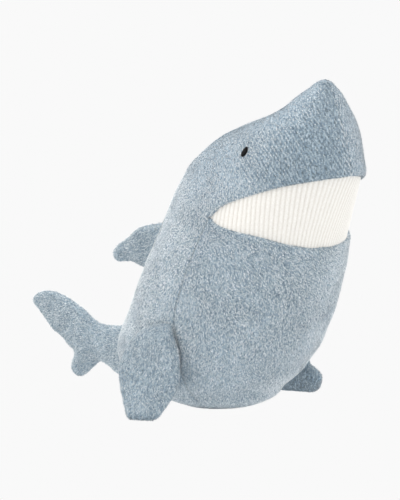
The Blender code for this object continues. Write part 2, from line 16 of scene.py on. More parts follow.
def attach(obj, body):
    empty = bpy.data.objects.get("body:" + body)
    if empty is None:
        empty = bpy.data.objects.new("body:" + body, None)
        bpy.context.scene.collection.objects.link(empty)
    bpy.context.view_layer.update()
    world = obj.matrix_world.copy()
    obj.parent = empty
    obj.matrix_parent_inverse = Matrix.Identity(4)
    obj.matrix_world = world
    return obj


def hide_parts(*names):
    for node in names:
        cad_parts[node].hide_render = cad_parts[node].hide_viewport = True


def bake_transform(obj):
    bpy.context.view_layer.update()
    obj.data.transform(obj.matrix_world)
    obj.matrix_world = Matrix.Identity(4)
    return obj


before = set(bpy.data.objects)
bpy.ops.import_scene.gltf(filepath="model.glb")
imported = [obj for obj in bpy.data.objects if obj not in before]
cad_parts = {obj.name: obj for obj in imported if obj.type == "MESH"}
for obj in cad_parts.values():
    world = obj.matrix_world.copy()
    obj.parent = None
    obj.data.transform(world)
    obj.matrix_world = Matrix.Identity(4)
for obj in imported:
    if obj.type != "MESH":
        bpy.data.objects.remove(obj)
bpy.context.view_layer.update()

MM = 0.001
TINY = 1e-9

# ---------------------------------------------------------------- shape of the torso

# Height, centre (y), half depth, half width, in millimetres.
TORSO_ROWS_MM = [
    (0.0, 0.0, 28.0, 29.0),
    (3.0, -1.0, 39.0, 38.0),
    (8.0, 0.0, 51.0, 50.0),
    (18.0, 4.5, 63.5, 63.0),
    (34.0, 5.2, 81.6, 78.5),
    (59.0, -3.9, 90.3, 87.5),
    (90.0, -18.7, 88.8, 89.0),
    (123.0, -31.7, 87.0, 87.0),
    (155.5, -44.8, 82.8, 82.0),
    (186.5, -57.5, 83.7, 74.0),
    (207.5, -67.6, 84.0, 66.0),
    (222.5, -75.1, 75.3, 63.4),
    (236.0, -84.2, 63.7, 58.9),
    (247.0, -94.8, 49.5, 53.4),
    (257.5, -107.3, 32.7, 42.6),
    (267.0, -114.6, 21.9, 31.8),
    (275.0, -117.5, 15.6, 23.5),
    (281.5, -120.0, 9.5, 14.2),
    (286.0, -120.9, 6.2, 7.6),
    (288.9, -121.1, 0.1, 0.1),
]
# Height in mm against the power that shapes a section's front half (2 is an ellipse).
RIDGE_POWER = [(0, 2.0), (198, 2.0), (224, 1.86), (262, 1.8), (288, 1.9)]
# Lip lines: degrees from the front against height in mm; the left half hangs a little lower.
UPPER_LIP = [
    (0, 207.9), (10, 207), (22, 205.8), (38, 203.6), (50, 201), (58, 197.6), (65, 194), (72, 190.4),
    (77.5, 186.8), (81, 182.6), (83.5, 175),
]
LOWER_LIP = [
    (0, 146.8), (8, 146.9), (20, 149.8), (33.5, 153.8), (42, 157.4), (50, 160), (64, 164.4), (70, 166.4),
    (78, 170), (83.5, 175),
]
UPPER_LIP_LEFT = [
    (0, 207.9), (22, 205.2), (38, 202), (52, 198.5), (65, 193.5), (77.5, 186.6), (81, 182.6), (83.5, 175),
]
LOWER_LIP_LEFT = [
    (0, 146.8), (8, 146.3), (20, 147.2), (30, 148.6), (43, 151), (60, 158.5), (78, 169.5), (83.5, 175),
]
SIDE_SEAM = [(0, 64), (20, 65.5), (35, 67), (53, 69.5), (73.5, 76.3), (80, 79), (102, 82.5), (175, 83.5)]
CORNER_MM = 175.0
CORNER_DEG = 83.5
TOP_MM = TORSO_ROWS_MM[-1][0]

PILE_DEPTH = 0.0008       # the cloth lies this far inside the outline; the pile fills the rest
CLOTH = 0.0014
SEAM_ROLL = 0.0018
SEAM_DIP = 0.0009
BACK_SEAM_DIP = 0.0004
SNOUT_SEAM_DIP = 0.0005
LIP_ROLL = 0.0034
UPPER_LIP_DIP = 0.0046
LOWER_LIP_DIP = 0.0042
SOFT_BUMPS = 0.0007
CELL = 0.0020


def through(points, at):
    """Smooth curve through (position, value) points without overshoot."""
    place = np.array([p[0] for p in points], float)
    value = np.array([p[1] for p in points], float)
    at = np.clip(np.asarray(at, float), place[0], place[-1])
    span = np.diff(place)
    slope = np.diff(value) / span
    tangent = np.zeros(len(place))
    tangent[0] = slope[0]
    tangent[-1] = slope[-1]
    for k in range(1, len(place) - 1):
        if slope[k - 1] * slope[k] > 0:
            before = 2 * span[k] + span[k - 1]
            after = span[k] + 2 * span[k - 1]
            tangent[k] = (before + after) / (before / slope[k - 1] + after / slope[k])
    k = np.clip(np.searchsorted(place, at, side="right") - 1, 0, len(place) - 2)
    t = (at - place[k]) / span[k]
    return (
        (2 * t**3 - 3 * t**2 + 1) * value[k]
        + (t**3 - 2 * t**2 + t) * span[k] * tangent[k]
        + (-2 * t**3 + 3 * t**2) * value[k + 1]
        + (t**3 - t**2) * span[k] * tangent[k + 1]
    )


def lip(degrees, right_line, left_line):
    """Height in mm of a lip at degrees from the front, from its lines on the two halves."""
    size = np.abs(degrees)
    return np.where(np.asarray(degrees) > 0, through(left_line, size), through(right_line, size))


def upper_lip(degrees):
    return lip(degrees, UPPER_LIP, UPPER_LIP_LEFT)


def lower_lip(degrees):
    return lip(degrees, LOWER_LIP, LOWER_LIP_LEFT)


CENTRE, DEPTH, WIDTH = ([(row[0], row[k]) for row in TORSO_ROWS_MM] for k in (1, 2, 3))
PROBE_MM = 0.4            # half the steps over which the torso's slope is read
PROBE_DEG = 0.5


def torso_point(degrees, level_mm):
    """Point on the torso: degrees round from the front centre, positive to its left."""
    turn = np.radians(degrees)
    level_mm = np.asarray(level_mm, float)
    sine, cosine = np.sin(turn), np.cos(turn)
    power = through(RIDGE_POWER, level_mm)
    reach = (np.abs(sine) ** power + np.abs(cosine) ** power) ** (-1.0 / power)
    reach = np.where(cosine > 0, reach, 1.0)
    x = through(WIDTH, level_mm) * sine * reach
    y = through(CENTRE, level_mm) - through(DEPTH, level_mm) * cosine * reach
    return np.stack(np.broadcast_arrays(x, y, level_mm), axis=-1) * MM


def torso_normal(degrees, level_mm):
    """Outward unit normal of the torso."""
    degrees = np.asarray(degrees, float)
    level_mm = np.asarray(level_mm, float)
    low = np.clip(level_mm - PROBE_MM, 0.0, TOP_MM)
    high = np.clip(level_mm + PROBE_MM, 0.0, TOP_MM)
    round_it = torso_point(degrees + PROBE_DEG, level_mm) - torso_point(degrees - PROBE_DEG, level_mm)
    up_it = torso_point(degrees, high) - torso_point(degrees, low)
    normal = np.cross(round_it, up_it)
    return normal / np.maximum(np.linalg.norm(normal, axis=-1, keepdims=True), TINY)


# ---------------------------------------------------------------- mesh helpers

def unit(vectors):
    return vectors / np.maximum(np.linalg.norm(vectors, axis=-1, keepdims=True), TINY)


def soft_noise(points, scale, seed):
    """Smooth noise, about -1 to 1, one value per point."""
    offset = Vector((seed * 7.31, seed * 3.17, seed * 5.53))
    return np.array([noise.noise(Vector(p) / scale + offset) for p in points])


def line_distance(spots, line):
    """Distance from each spot to a chain of points."""
    best = np.full(len(spots), 1e9)
    for a, b in zip(line[:-1], line[1:]):
        run = b - a
        t = np.clip(((spots - a) @ run) / max(run @ run, TINY), 0.0, 1.0)
        best = np.minimum(best, np.linalg.norm(spots - (a + t[:, None] * run), axis=1))
    return best


def rolled(distance, radius, depth):
    """How far a skin dips at a distance from its seam: a quarter round, then straight in."""
    near = np.clip(1.0 - distance / radius, 0.0, 1.0)
    return depth * (1.0 - np.sqrt(np.maximum(1.0 - near**2, 0.0)))


def grid_faces(index):
    faces = []
    for low, high in zip(index[:-1], index[1:]):
        for k in range(len(low) - 1):
            faces.append([low[k], low[k + 1], high[k + 1], high[k]])
    return faces


def placed(name, data):
    """A new object for a mesh, light or camera, linked to the scene."""
    piece = bpy.data.objects.new(name, data)
    bpy.context.scene.collection.objects.link(piece)
    return piece


def all_smooth(mesh):
    mesh.polygons.foreach_set("use_smooth", np.ones(len(mesh.polygons), bool))


def new_piece(name, points, faces, material):
    mesh = bpy.data.meshes.new(name)
    mesh.from_pydata([tuple(p) for p in points], [], faces)
    mesh.materials.append(material)
    all_smooth(mesh)
    mesh.update()
    return placed(name, mesh)


def outward(piece, capped=False):
    """Make a piece's faces point out; a capped one has its open end closed first."""
    work = bmesh.new()
    work.from_mesh(piece.data)
    if capped:
        bmesh.ops.holes_fill(work, edges=[e for e in work.edges if e.is_boundary], sides=0)
        bmesh.ops.triangulate(work, faces=[f for f in work.faces if len(f.verts) > 4])
    bmesh.ops.recalc_face_normals(work, faces=work.faces[:])
    work.to_mesh(piece.data)
    work.free()
    return piece


def closed_skin(name, outer, inner, faces, material):
    """Join two matching skins with a wall round every open edge."""
    count = len(outer)
    all_faces = [list(f) for f in faces]
    all_faces += [[k + count for k in reversed(f)] for f in faces]
    uses = {}
    for face in faces:
        for a, b in zip(face, list(face[1:]) + [face[0]]):
            key = frozenset((a, b))
            uses[key] = None if key in uses else (a, b)
    for edge in uses.values():
        if edge is not None:
            a, b = edge
            all_faces.append([b, a, a + count, b + count])
    return outward(new_piece(name, np.concatenate([outer, inner]), all_faces, material))


# ---------------------------------------------------------------- materials

SHEEN_ROUGHNESS = 0.5
FIBRE_SHEEN = 1.0
CLOTH_SHEEN = 0.2
RIB_SHEEN = 0.06


def linear(rgb):
    """sRGB 0-255 to linear."""
    shares = [value / 255.0 for value in rgb]
    return [v / 12.92 if v <= 0.04045 else ((v + 0.055) / 1.055) ** 2.4 for v in shares]


def feed(tree, node, inputs):
    """Give each named or numbered input of a node its value, or a link from an output."""
    for place, value in inputs.items():
        if isinstance(value, bpy.types.NodeSocket):
            tree.links.new(value, node.inputs[place])
        else:
            node.inputs[place].default_value = value


def add_node(tree, kind, inputs, **settings):
    node = tree.nodes.new("ShaderNode" + kind)
    for name, value in settings.items():
        setattr(node, name, value)
    feed(tree, node, inputs)
    return node


def fresh_material(name, roughness, sheen, specular=0.2):
    """A new material with its node tree and surface node."""
    material = bpy.data.materials.new(name)
    material.use_nodes = True
    surface = material.node_tree.nodes["Principled BSDF"]
    feed(material.node_tree, surface, {
        "Roughness": roughness, "Specular IOR Level": specular,
        "Sheen Weight": sheen, "Sheen Roughness": SHEEN_ROUGHNESS,
    })
    return material, material.node_tree, surface


def object_place(tree):
    return add_node(tree, "TexCoord", {}).outputs["Object"]


def mixed_noise(tree, place, scale, detail, colours, stretch=(1, 1, 1)):
    """Noise through a colour ramp: the outputs of the ramp's colour and of the noise itself."""
    mapping = add_node(tree, "Mapping", {"Vector": place, "Scale": stretch})
    texture = add_node(tree, "TexNoise", {"Vector": mapping.outputs[0], "Scale": scale, "Detail": detail})
    ramp = add_node(tree, "ValToRGB", {"Fac": texture.outputs["Fac"]})
    stops = ramp.color_ramp.elements
    for k, (at, colour) in ((0, colours[0]), (1, colours[-1])):
        stops[k].position = at
        stops[k].color = (*colour, 1.0)
    for at, colour in colours[1:-1]:
        stops.new(at).color = (*colour, 1.0)
    return ramp.outputs["Color"], texture.outputs["Fac"]


def relief(tree, height, strength, distance):
    bump = add_node(tree, "Bump", {"Height": height, "Strength": strength, "Distance": distance})
    return bump.outputs["Normal"]


def plain_fibre(name, rgb):
    material, tree, surface = fresh_material(name, 0.9, FIBRE_SHEEN, specular=0.1)
    feed(tree, surface, {"Base Color": (*linear(rgb), 1.0)})
    return material


def plush_material():
    """Knitted ground cloth under the pile: melange yarn with fine knit relief, set darker than the pile as
    painted shade under the fibres.
    """
    material, tree, surface = fresh_material("plush_ground", 0.95, CLOTH_SHEEN)
    place = object_place(tree)
    dark, mid, light = linear((104, 122, 137)), linear((134, 151, 164)), linear((168, 182, 192))
    yarn = [(0.34, dark), (0.5, mid), (0.68, light)]
    fine, height = mixed_noise(tree, place, scale=620.0, detail=3.0, colours=yarn, stretch=(1, 1, 0.45))
    patches = [(0.35, (0.86,) * 3), (0.65, (1.08,) * 3)]
    broad = mixed_noise(tree, place, scale=26.0, detail=2.0, colours=patches)[0]
    mix = add_node(
        tree, "Mix", {"Factor": 1.0, "A": fine, "B": broad}, data_type="RGBA", blend_type="MULTIPLY",
    )
    normal = relief(tree, height, strength=0.7, distance=0.0006)
    feed(tree, surface, {"Base Color": mix.outputs["Result"], "Normal": normal})
    return material


def rib_material():
    """Cream ribbed knit: fine stitches on ribs that are real geometry, with painted shade darkening the
    grooves.
    """
    material, tree, surface = fresh_material("rib_knit", 0.9, RIB_SHEEN)
    place = object_place(tree)
    yarn = [(0.35, linear((223, 220, 215))), (0.65, linear((231, 229, 225)))]
    fine, height = mixed_noise(tree, place, scale=900.0, detail=2.0, colours=yarn, stretch=(1, 1, 0.7))
    # painted shade in the grooves between the ribs
    painted_groove_shade = add_node(tree, "Attribute", {}, attribute_name="painted_groove_shade").outputs["Fac"]
    deep = (*linear((207, 202, 194)), 1.0)
    shade = add_node(tree, "Mix", {"Factor": painted_groove_shade, "A": fine, "B": deep}, data_type="RGBA")
    stitches = add_node(
        tree, "TexWave", {"Vector": place, "Scale": 190.0, "Distortion": 1.2, "Detail": 1.0},
        wave_type="BANDS", bands_direction="Z",
    )
    total = add_node(tree, "Math", {0: stitches.outputs["Fac"], 1: height}, operation="ADD")
    normal = relief(tree, total.outputs["Value"], strength=0.35, distance=0.0003)
    feed(tree, surface, {"Base Color": shade.outputs["Result"], "Normal": normal})
    return material


def speckled(name, roughness, sheen, scale, detail, colours):
    """A material that varies finely between two near colours."""
    material, tree, surface = fresh_material(name, roughness, sheen)
    fine = mixed_noise(tree, object_place(tree), scale, detail, colours)[0]
    feed(tree, surface, {"Base Color": fine})
    return material


def loose_material(name, rgb, scale):
    """Plain filling or lining: one colour, a little uneven."""
    dark = linear([value * 0.9 for value in rgb])
    return speckled(name, 0.95, CLOTH_SHEEN, scale, 3.0, [(0.35, dark), (0.65, linear(rgb))])


def fibre_shades(end, shades):
    return [plain_fibre(f"pile_{end}_{word}", rgb) for word, rgb in shades.items()]


PLUSH = plush_material()
WADDING = loose_material("wadding", (236, 236, 232), 240.0)
POUCH_CLOTH = loose_material("pouch_cloth", (226, 222, 212), 900.0)
PELLETS = loose_material("pellets", (214, 216, 214), 420.0)
RIB = rib_material()
BLACKS = [(0.3, linear((2, 2, 3))), (0.7, linear((10, 11, 14)))]
THREAD = speckled("eye_thread", 0.5, sheen=0.0, scale=1500.0, detail=2.0, colours=BLACKS)
# Roots are darker than tips: painted shade deep in the pile.
ROOT_SHADES = fibre_shades("root", {
    "deep": (93, 107, 115), "dark": (128, 144, 154), "mid": (158, 172, 181), "light": (190, 199, 204),
})
TIP_SHADES = fibre_shades("tip", {
    "deep": (96, 110, 118), "dark": (130, 145, 154), "mid": (185, 195, 200), "light": (214, 219, 221),
    "pale": (236, 238, 240),
})

# ---------------------------------------------------------------- torso skins

def seam_lines():
    """The seams as chains of points on the torso, by name."""
    rise = np.linspace(0.0, CORNER_MM, 60)
    spine = np.linspace(0.0, TOP_MM, 120)
    bridge = np.linspace(float(through(UPPER_LIP, 0.0)), TOP_MM, 60)
    lines = {"back": torso_point(180.0, spine), "snout": torso_point(0.0, bridge)}
    for side, word in ((-1.0, "right"), (1.0, "left")):
        turns = np.linspace(CORNER_DEG, 0.0, 60) * side
        lines["side_" + word] = torso_point(through(SIDE_SEAM, rise) * side, rise)
        lines["upper_" + word] = torso_point(turns, upper_lip(turns))
        lines["lower_" + word] = torso_point(turns, lower_lip(turns))
    return lines


SEAMS = seam_lines()
SOFT_BUMP_SCALES = ((0.028, 1, 1.0), (0.011, 2, 0.35))    # size of the bumps, seed, share of the height
END_CROWDING = 0.35
SNOUT_CROWDING = 1.15
BACK_RUN = 0.140          # rough lengths that set how many columns and rows a panel gets
FRONT_RUN = 0.115
HEAD_RUN = 0.150
TIP_GAP_MM = 0.4


def dress(turns, levels, rolls):
    """Outer and inner skin points of a panel whose edges roll in at the given seams."""
    skin = torso_point(turns, levels)
    normal = torso_normal(turns, levels)
    dip = np.full(len(skin), PILE_DEPTH)
    for seam, radius, depth in rolls:
        dip = np.maximum(dip, PILE_DEPTH + rolled(line_distance(skin, SEAMS[seam]), radius, depth))
    lift = sum(soft_noise(skin, size, seed) * SOFT_BUMPS * share for size, seed, share in SOFT_BUMP_SCALES)
    outer = skin - normal * (dip - lift)[:, None]
    inner = outer - normal * CLOTH
    low = levels <= 0.0
    outer[low, 2] = np.maximum(outer[low, 2], 0.0)
    return outer, inner


def corner_levels():
    """Heights up to the mouth's corner, closer together near both ends."""
    t = np.linspace(0.0, 1.0, int(CORNER_MM * MM / CELL) + 1)
    return CORNER_MM * (t - END_CROWDING / math.tau * np.sin(math.tau * t))


def side_skin(word, side):
    """Side panel: below the mouth's corner from back seam to side seam, above it on to the snout."""
    back_columns = int(BACK_RUN / CELL)
    back_share = np.linspace(0.0, 1.0, back_columns + 1)
    front_share = np.linspace(0.0, 1.0, int(FRONT_RUN / CELL)) ** SNOUT_CROWDING
    places, index = [], []
    for level in corner_levels():
        seam = float(through(SIDE_SEAM, level))
        index.append([len(places) + k for k in range(back_columns + 1)])
        places += [(180.0 + (seam - 180.0) * share, level) for share in back_share]
    faces = grid_faces(index)
    head_turns = [places[k][0] for k in index[-1]] + list(CORNER_DEG * (1.0 - front_share[1:]))
    head_rows = []
    for step in np.linspace(0.0, 1.0, int(HEAD_RUN / CELL) + 1):
        row = []
        for column, turn in enumerate(head_turns):
            if step == 0.0 and column <= back_columns:
                row.append(index[-1][column])
                continue
            start = CORNER_MM if column <= back_columns else float(upper_lip(turn * side))
            row.append(len(places))
            places.append((turn, start + (TOP_MM - TIP_GAP_MM - start) * step))
        head_rows.append(row)
    faces += grid_faces(head_rows)
    turns, levels = np.array(places).T
    outer, inner = dress(turns * side, levels, [
        ("side_" + word, SEAM_ROLL, SEAM_DIP),
        ("back", SEAM_ROLL, BACK_SEAM_DIP),
        ("snout", SEAM_ROLL, SNOUT_SEAM_DIP),
        ("upper_" + word, LIP_ROLL, UPPER_LIP_DIP),
    ])
    piece = closed_skin("skin_side_" + word, outer, inner, faces, PLUSH)
    return finish_skin(piece, "side_panel_" + word)


def finish_skin(piece, node):
    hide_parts(node)
    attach(piece, "torso")
    return piece


def belly_skin():
    """Belly panel between the side seams, its rows rising to the lower lip."""
    columns = 2 * int(FRONT_RUN / CELL)
    across = np.linspace(-1.0, 1.0, columns + 1)
    places, index = [], []
    tops = lower_lip(CORNER_DEG * across)
    for level in corner_levels():
        seam = float(through(SIDE_SEAM, level))
        index.append([len(places) + k for k in range(columns + 1)])
        places += [(seam * c, level / CORNER_MM * top) for c, top in zip(across, tops)]
    turns, levels = np.array(places).T
    outer, inner = dress(turns, levels, [
        ("side_right", SEAM_ROLL, SEAM_DIP),
        ("side_left", SEAM_ROLL, SEAM_DIP),
        ("lower_right", LIP_ROLL, LOWER_LIP_DIP),
        ("lower_left", LIP_ROLL, LOWER_LIP_DIP),
    ])
    piece = closed_skin("skin_belly", outer, inner, grid_faces(index), PLUSH)
    return finish_skin(piece, "belly_panel")


BASE_RINGS = 12
BASE_COLUMNS = 72
BASE_SHARE = 0.995
BASE_LIFT = 0.0001


def base_skin():
    """Flat round base panel, just inside the side panels' lower edge."""
    outline = torso_point(np.arange(BASE_COLUMNS) * 360.0 / BASE_COLUMNS, np.zeros(BASE_COLUMNS))
    middle = np.array([0.0, TORSO_ROWS_MM[0][1] * MM, 0.0])
    points = [middle]
    index = []
    for ring in range(1, BASE_RINGS + 1):
        row = list(range(len(points), len(points) + BASE_COLUMNS))
        points += list(middle + (outline - middle) * ring / BASE_RINGS * BASE_SHARE)
        index.append(row + [row[0]])
    faces = grid_faces(index) + [[0, a, b] for a, b in zip(index[0][:-1], index[0][1:])]
    outer = np.array(points)
    outer[:, 2] = BASE_LIFT
    inner = outer + np.array([0.0, 0.0, CLOTH])
    piece = closed_skin("skin_base", outer, inner, faces, PLUSH)
    return finish_skin(piece, "base_panel")


# ---------------------------------------------------------------- mouth band

MOUTH_RECESS = 0.0040
BAND_THICKNESS = 0.0016
BAND_TUCK_MM = 2.5        # how far the band runs on behind each lip
BAND_COLUMNS = 620
BAND_ROWS = 40
BAND_SAG = 0.0003
RIB_PITCH = 0.0041
RIB_RADIUS = 0.078        # the pitch holds at this distance from the axis
RIB_HEIGHT = 0.0008
RIB_LEVEL = 0.8           # share of a rib's height that lies at the band's own surface
RIB_WOBBLE = 0.08         # how far a rib strays, as a share of the pitch
RIB_AXIS_Y = -0.0560
RIB_LEAN = 0.06
RIB_MIDDLE_MM = 178.0


def mouth_skin():
    """Ribbed band behind the lips; its ribs stand nearly upright all the way round."""
    turns = np.linspace(-CORNER_DEG, CORNER_DEG, BAND_COLUMNS + 1)
    low = lower_lip(turns) - BAND_TUCK_MM
    high = upper_lip(turns) + BAND_TUCK_MM
    places, index = [], []
    for step in np.linspace(0.0, 1.0, BAND_ROWS + 1):
        index.append([len(places) + k for k in range(BAND_COLUMNS + 1)])
        places += list(zip(turns, low + (high - low) * step))
    turns, levels = np.array(places).T
    skin = torso_point(turns, levels)
    normal = torso_normal(turns, levels)
    axis_y = RIB_AXIS_Y - RIB_LEAN * (levels - RIB_MIDDLE_MM) * MM
    angle = np.arctan2(skin[:, 0], -(skin[:, 1] - axis_y))
    phase = angle * RIB_RADIUS / RIB_PITCH + soft_noise(skin, 0.020, 5) * RIB_WOBBLE
    ridge = np.sqrt(np.abs(np.sin(math.pi * phase)))
    rise = RIB_HEIGHT * (ridge - RIB_LEVEL) + soft_noise(skin, 0.016, 3) * BAND_SAG
    outer = skin - normal * (MOUTH_RECESS - rise)[:, None]
    inner = skin - normal * (MOUTH_RECESS + BAND_THICKNESS)
    piece = closed_skin("skin_mouth_band", outer, inner, grid_faces(index), RIB)
    # The groove mask tells the rib material where to paint shade.
    painted_groove_shade = piece.data.attributes.new("painted_groove_shade", "FLOAT", "POINT")
    painted_groove_shade.data.foreach_set("value", np.tile(1.0 - ridge, 2).astype(np.float32))
    return finish_skin(piece, "mouth_panel")


# ---------------------------------------------------------------- eyes

EYE_DEG = 83.5
EYE_MM = 229.7
EYE_HALF_WIDTH = 0.0023
EYE_HALF_LENGTH = 0.0044
EYE_LEAN = math.radians(28.0)
EYE_ROUNDING = 0.06       # how blunt the oval's ends are
EYE_SEED = 11
EYE_STITCHES = 17
STITCH_RADIUS = 0.00042
STITCH_SIDES = 6
STITCH_RISE = 0.0012
STITCH_SINK = 0.0002
STITCH_SKEW = 0.0002


def stitch(points):
    """A short thread as a closed tube through the points: (vertices, faces)."""
    sides = STITCH_SIDES
    verts = []
    for k, point in enumerate(points):
        ahead = points[min(k + 1, len(points) - 1)] - points[max(k - 1, 0)]
        ahead = ahead.normalized()
        side = ahead.orthogonal().normalized()
        other = ahead.cross(side)
        for s in range(sides):
            turn = math.tau * s / sides
            verts.append(point + (side * math.cos(turn) + other * math.sin(turn)) * STITCH_RADIUS)
    rings = [[k * sides + s % sides for s in range(sides + 1)] for k in range(len(points))]
    return verts, grid_faces(rings) + [rings[0][:sides][::-1], rings[-1][:sides]]


def eye(word, side):
    """Satin stitches laid side by side across a slanted oval."""
    normal = Vector(torso_normal(EYE_DEG * side, EYE_MM))
    middle = Vector(torso_point(EYE_DEG * side, EYE_MM)) - normal * PILE_DEPTH
    up = (Vector((0, 0, 1)) - normal * normal.z).normalized()
    forward = up.cross(normal)
    if forward.y > 0:
        forward = -forward
    long_way = up * math.cos(EYE_LEAN) + forward * math.sin(EYE_LEAN)
    cross_way = forward * math.cos(EYE_LEAN) - up * math.sin(EYE_LEAN)
    verts, faces = [], []
    rng = np.random.default_rng(EYE_SEED)
    for k in range(EYE_STITCHES):
        share = (k + 0.5) / EYE_STITCHES * 2.0 - 1.0
        half = EYE_HALF_WIDTH * math.sqrt(max(EYE_ROUNDING, 1.0 - share**2)) * rng.uniform(0.88, 1.1)
        row = middle + long_way * (share * EYE_HALF_LENGTH)
        skew = rng.uniform(-STITCH_SKEW, STITCH_SKEW)
        points = []
        for t in np.linspace(-1.0, 1.0, 7):
            lift = STITCH_RISE * (1.0 - t**4) - STITCH_SINK
            points.append(row + cross_way * (half * t) + long_way * (skew * t) + normal * lift)
        more, more_faces = stitch(points)
        faces += [[i + len(verts) for i in f] for f in more_faces]
        verts += more
    piece = outward(new_piece("stitched_eye_" + word, verts, faces, THREAD))
    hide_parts("eye_" + word)
    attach(piece, "torso")


# ---------------------------------------------------------------- stuffed pockets

BACK_FIN_MM = [
    (26, 168), (37.1, 163.4), (52.5, 158), (68.2, 153.4), (82, 150.6), (92, 148), (99.6, 144.7),
    (109.8, 137.1), (121.3, 130.3), (127.7, 125.2), (129.7, 120.5), (127.8, 115.2),
    (122.7, 113), (117.6, 113.4), (107.4, 114.4), (101.1, 113.1), (91, 110.5),
    (78.5, 106.6), (66.1, 103.2), (56, 97),
]
TAIL_MM = [
    (70, 59.5), (80, 58.4), (91.1, 57.5), (104.5, 56.6), (119.3, 56.2), (130.5, 54.9), (142.5, 54.7),
    (154.2, 57.1), (167.3, 64), (181.7, 70.8), (196.3, 75.9), (211, 78.1), (223.1, 76.9),
    (229.9, 74.4), (235.4, 70.1), (234.8, 63.6), (223.4, 54.5), (210.1, 42.9), (196.7, 36),
    (187.5, 29.1), (180.7, 24.5), (183.6, 17), (185, 11.3), (182.4, 6), (177.1, 2.9), (169.9, 3.8),
    (162.6, 8.4), (149.4, 18.2), (142.9, 18.9), (132.5, 15.6), (122.2, 11.3), (110.5, 9.5),
    (98.5, 12.5), (89.1, 19.5), (80, 25), (70, 29),
]
SIDE_FIN_MM = [
    (-25, 5.3), (-19.2, 5.6), (-11, 8), (-3.9, 11.8), (2, 17), (6.1, 22.1), (11.3, 29.5),
    (13.9, 37.3), (14.7, 44), (14.1, 50.7), (9.7, 64.4), (4, 78.9), (0.7, 86.2),
    (-3, 88.2), (-13.8, 88.5), (-22.3, 87.6), (-26.4, 84.5), (-33.9, 71.4), (-38.7, 59.3),
    (-40.1, 46.5), (-39.9, 37), (-38.5, 27.8), (-34.2, 13.6), (-30.3, 7.6),
]
SIDE_FIN_TOP = (0.0938, 0.0885)
SIDE_FIN_LEAN_DEG = 6.5
SIDE_FIN_MIDDLE_Y = -0.0175
SIDE_FIN_TOE = (0.14, 0.55)
SIDE_FIN_LENGTH = 0.090
SIDE_FIN_CUP = 6.0
FIN_TUCK = 0.014          # how far the blade's top is drawn in to its seam on the flank
FIN_TUCK_LENGTH = 0.018
# The left fin follows the flank down and its tip rests turned out on the floor: (v, x, z) in mm.
LEFT_FIN_LINE = [
    (0, 93.8, 88.5), (20, 94.0, 68.6), (40, 90.5, 49.0), (53, 86.5, 36.5), (64, 85.5, 25.5),
    (73, 89.0, 15.5), (88.5, 100.5, 4.0), (92, 103.5, 3.0),
]
LEFT_FIN_X = [(v * MM, x * MM) for v, x, z in LEFT_FIN_LINE]
LEFT_FIN_Z = [(v * MM, z * MM) for v, x, z in LEFT_FIN_LINE]
LEFT_FIN_STEP = 0.001     # run over which the line's slope is read
LEFT_FIN_SWEEP = 0.003    # how far its tip is swept towards the nose
LEFT_FIN_SPREAD = 0.55    # how much wider the floor spreads its tip
LEFT_FIN_BEND = 0.059     # the floor bends and spreads it from this far down
LEFT_FIN_BEND_RUN = 0.016
LEFT_FIN_NOTCH = 0.4      # how much the front edge is drawn back at the bend
LEFT_FIN_NOTCH_HALF = 0.010
LEFT_FIN_TILT = 0.45      # slope of the rear half of the tip, down to the floor
LEFT_FIN_LOWEST = 0.0026
TOP_LOSS = 0.0020         # a side fin is this much thinner on each side by its top seam
TOP_LOSS_RUN = 0.020
DIMPLE = (-0.024, 0.052)    # (u, v) on the blade
DIMPLE_SIZE = (0.005, 0.009)
DIMPLE_DEPTH = 0.0016
POCKET_CELL = 0.0024
EDGE_MARGIN = 0.6         # gap between the outline and the spots inside it, in cells
POCKET_ROUNDING = 2.2     # a pocket's edge is rounded like a circle at 2, fuller above that
POCKET_SEAM_DIP = 0.0010
POCKET_SEAM_WIDTH = 0.0025
WADDING_INSET = 0.0045
WADDING_GAP = 0.0022
WADDING_THINNEST = 0.0003
ON_SEAM = 1e-5
FLOOR_CLEAR = 0.0003
SETTLE_FRAMES = 20
SETTLE_LIMIT = 0.0035
CLOTH_SETTINGS = {
    "vertex_group_mass": "held", "quality": 6, "mass": 0.15, "tension_stiffness": 18.0,
    "compression_stiffness": 18.0, "shear_stiffness": 8.0, "bending_stiffness": 0.6,
    "shrink_min": -0.03, "use_pressure": True, "uniform_pressure_force": 4.0,
}


def even_outline(points_mm, closed, step):
    """Smooth, evenly spaced outline through the given points."""
    points = np.array(points_mm, float) * MM
    first, last = 2 * points[:1] - points[1:2], 2 * points[-1:] - points[-2:-1]
    if closed:
        first, last = points[-1:], points[:2]
    points = np.concatenate([first, points, last])
    fine = []
    for p0, p1, p2, p3 in zip(points, points[1:], points[2:], points[3:]):
        for t in np.linspace(0.0, 1.0, 16, endpoint=False):
            fine.append(0.5 * (
                2 * p1 + (p2 - p0) * t + (2 * p0 - 5 * p1 + 4 * p2 - p3) * t**2
                + (3 * p1 - p0 - 3 * p2 + p3) * t**3
            ))
    fine = np.array(fine + [points[-2]])
    run = np.concatenate([[0.0], np.cumsum(np.linalg.norm(np.diff(fine, axis=0), axis=1))])
    at = np.linspace(0.0, run[-1], max(8, int(run[-1] / step)) + 1)
    even = np.stack([np.interp(at, run, fine[:, 0]), np.interp(at, run, fine[:, 1])], axis=-1)
    return even[:-1] if closed else even


def inside(spots, outline):
    """Which spots lie inside a closed outline."""
    hit = np.zeros(len(spots), bool)
    for a, b in zip(outline, np.roll(outline, -1, axis=0)):
        crosses = (a[1] > spots[:, 1]) != (b[1] > spots[:, 1])
        x = (b[0] - a[0]) * (spots[:, 1] - a[1]) / (b[1] - a[1] + TINY) + a[0]
        hit ^= crosses & (spots[:, 0] < x)
    return hit


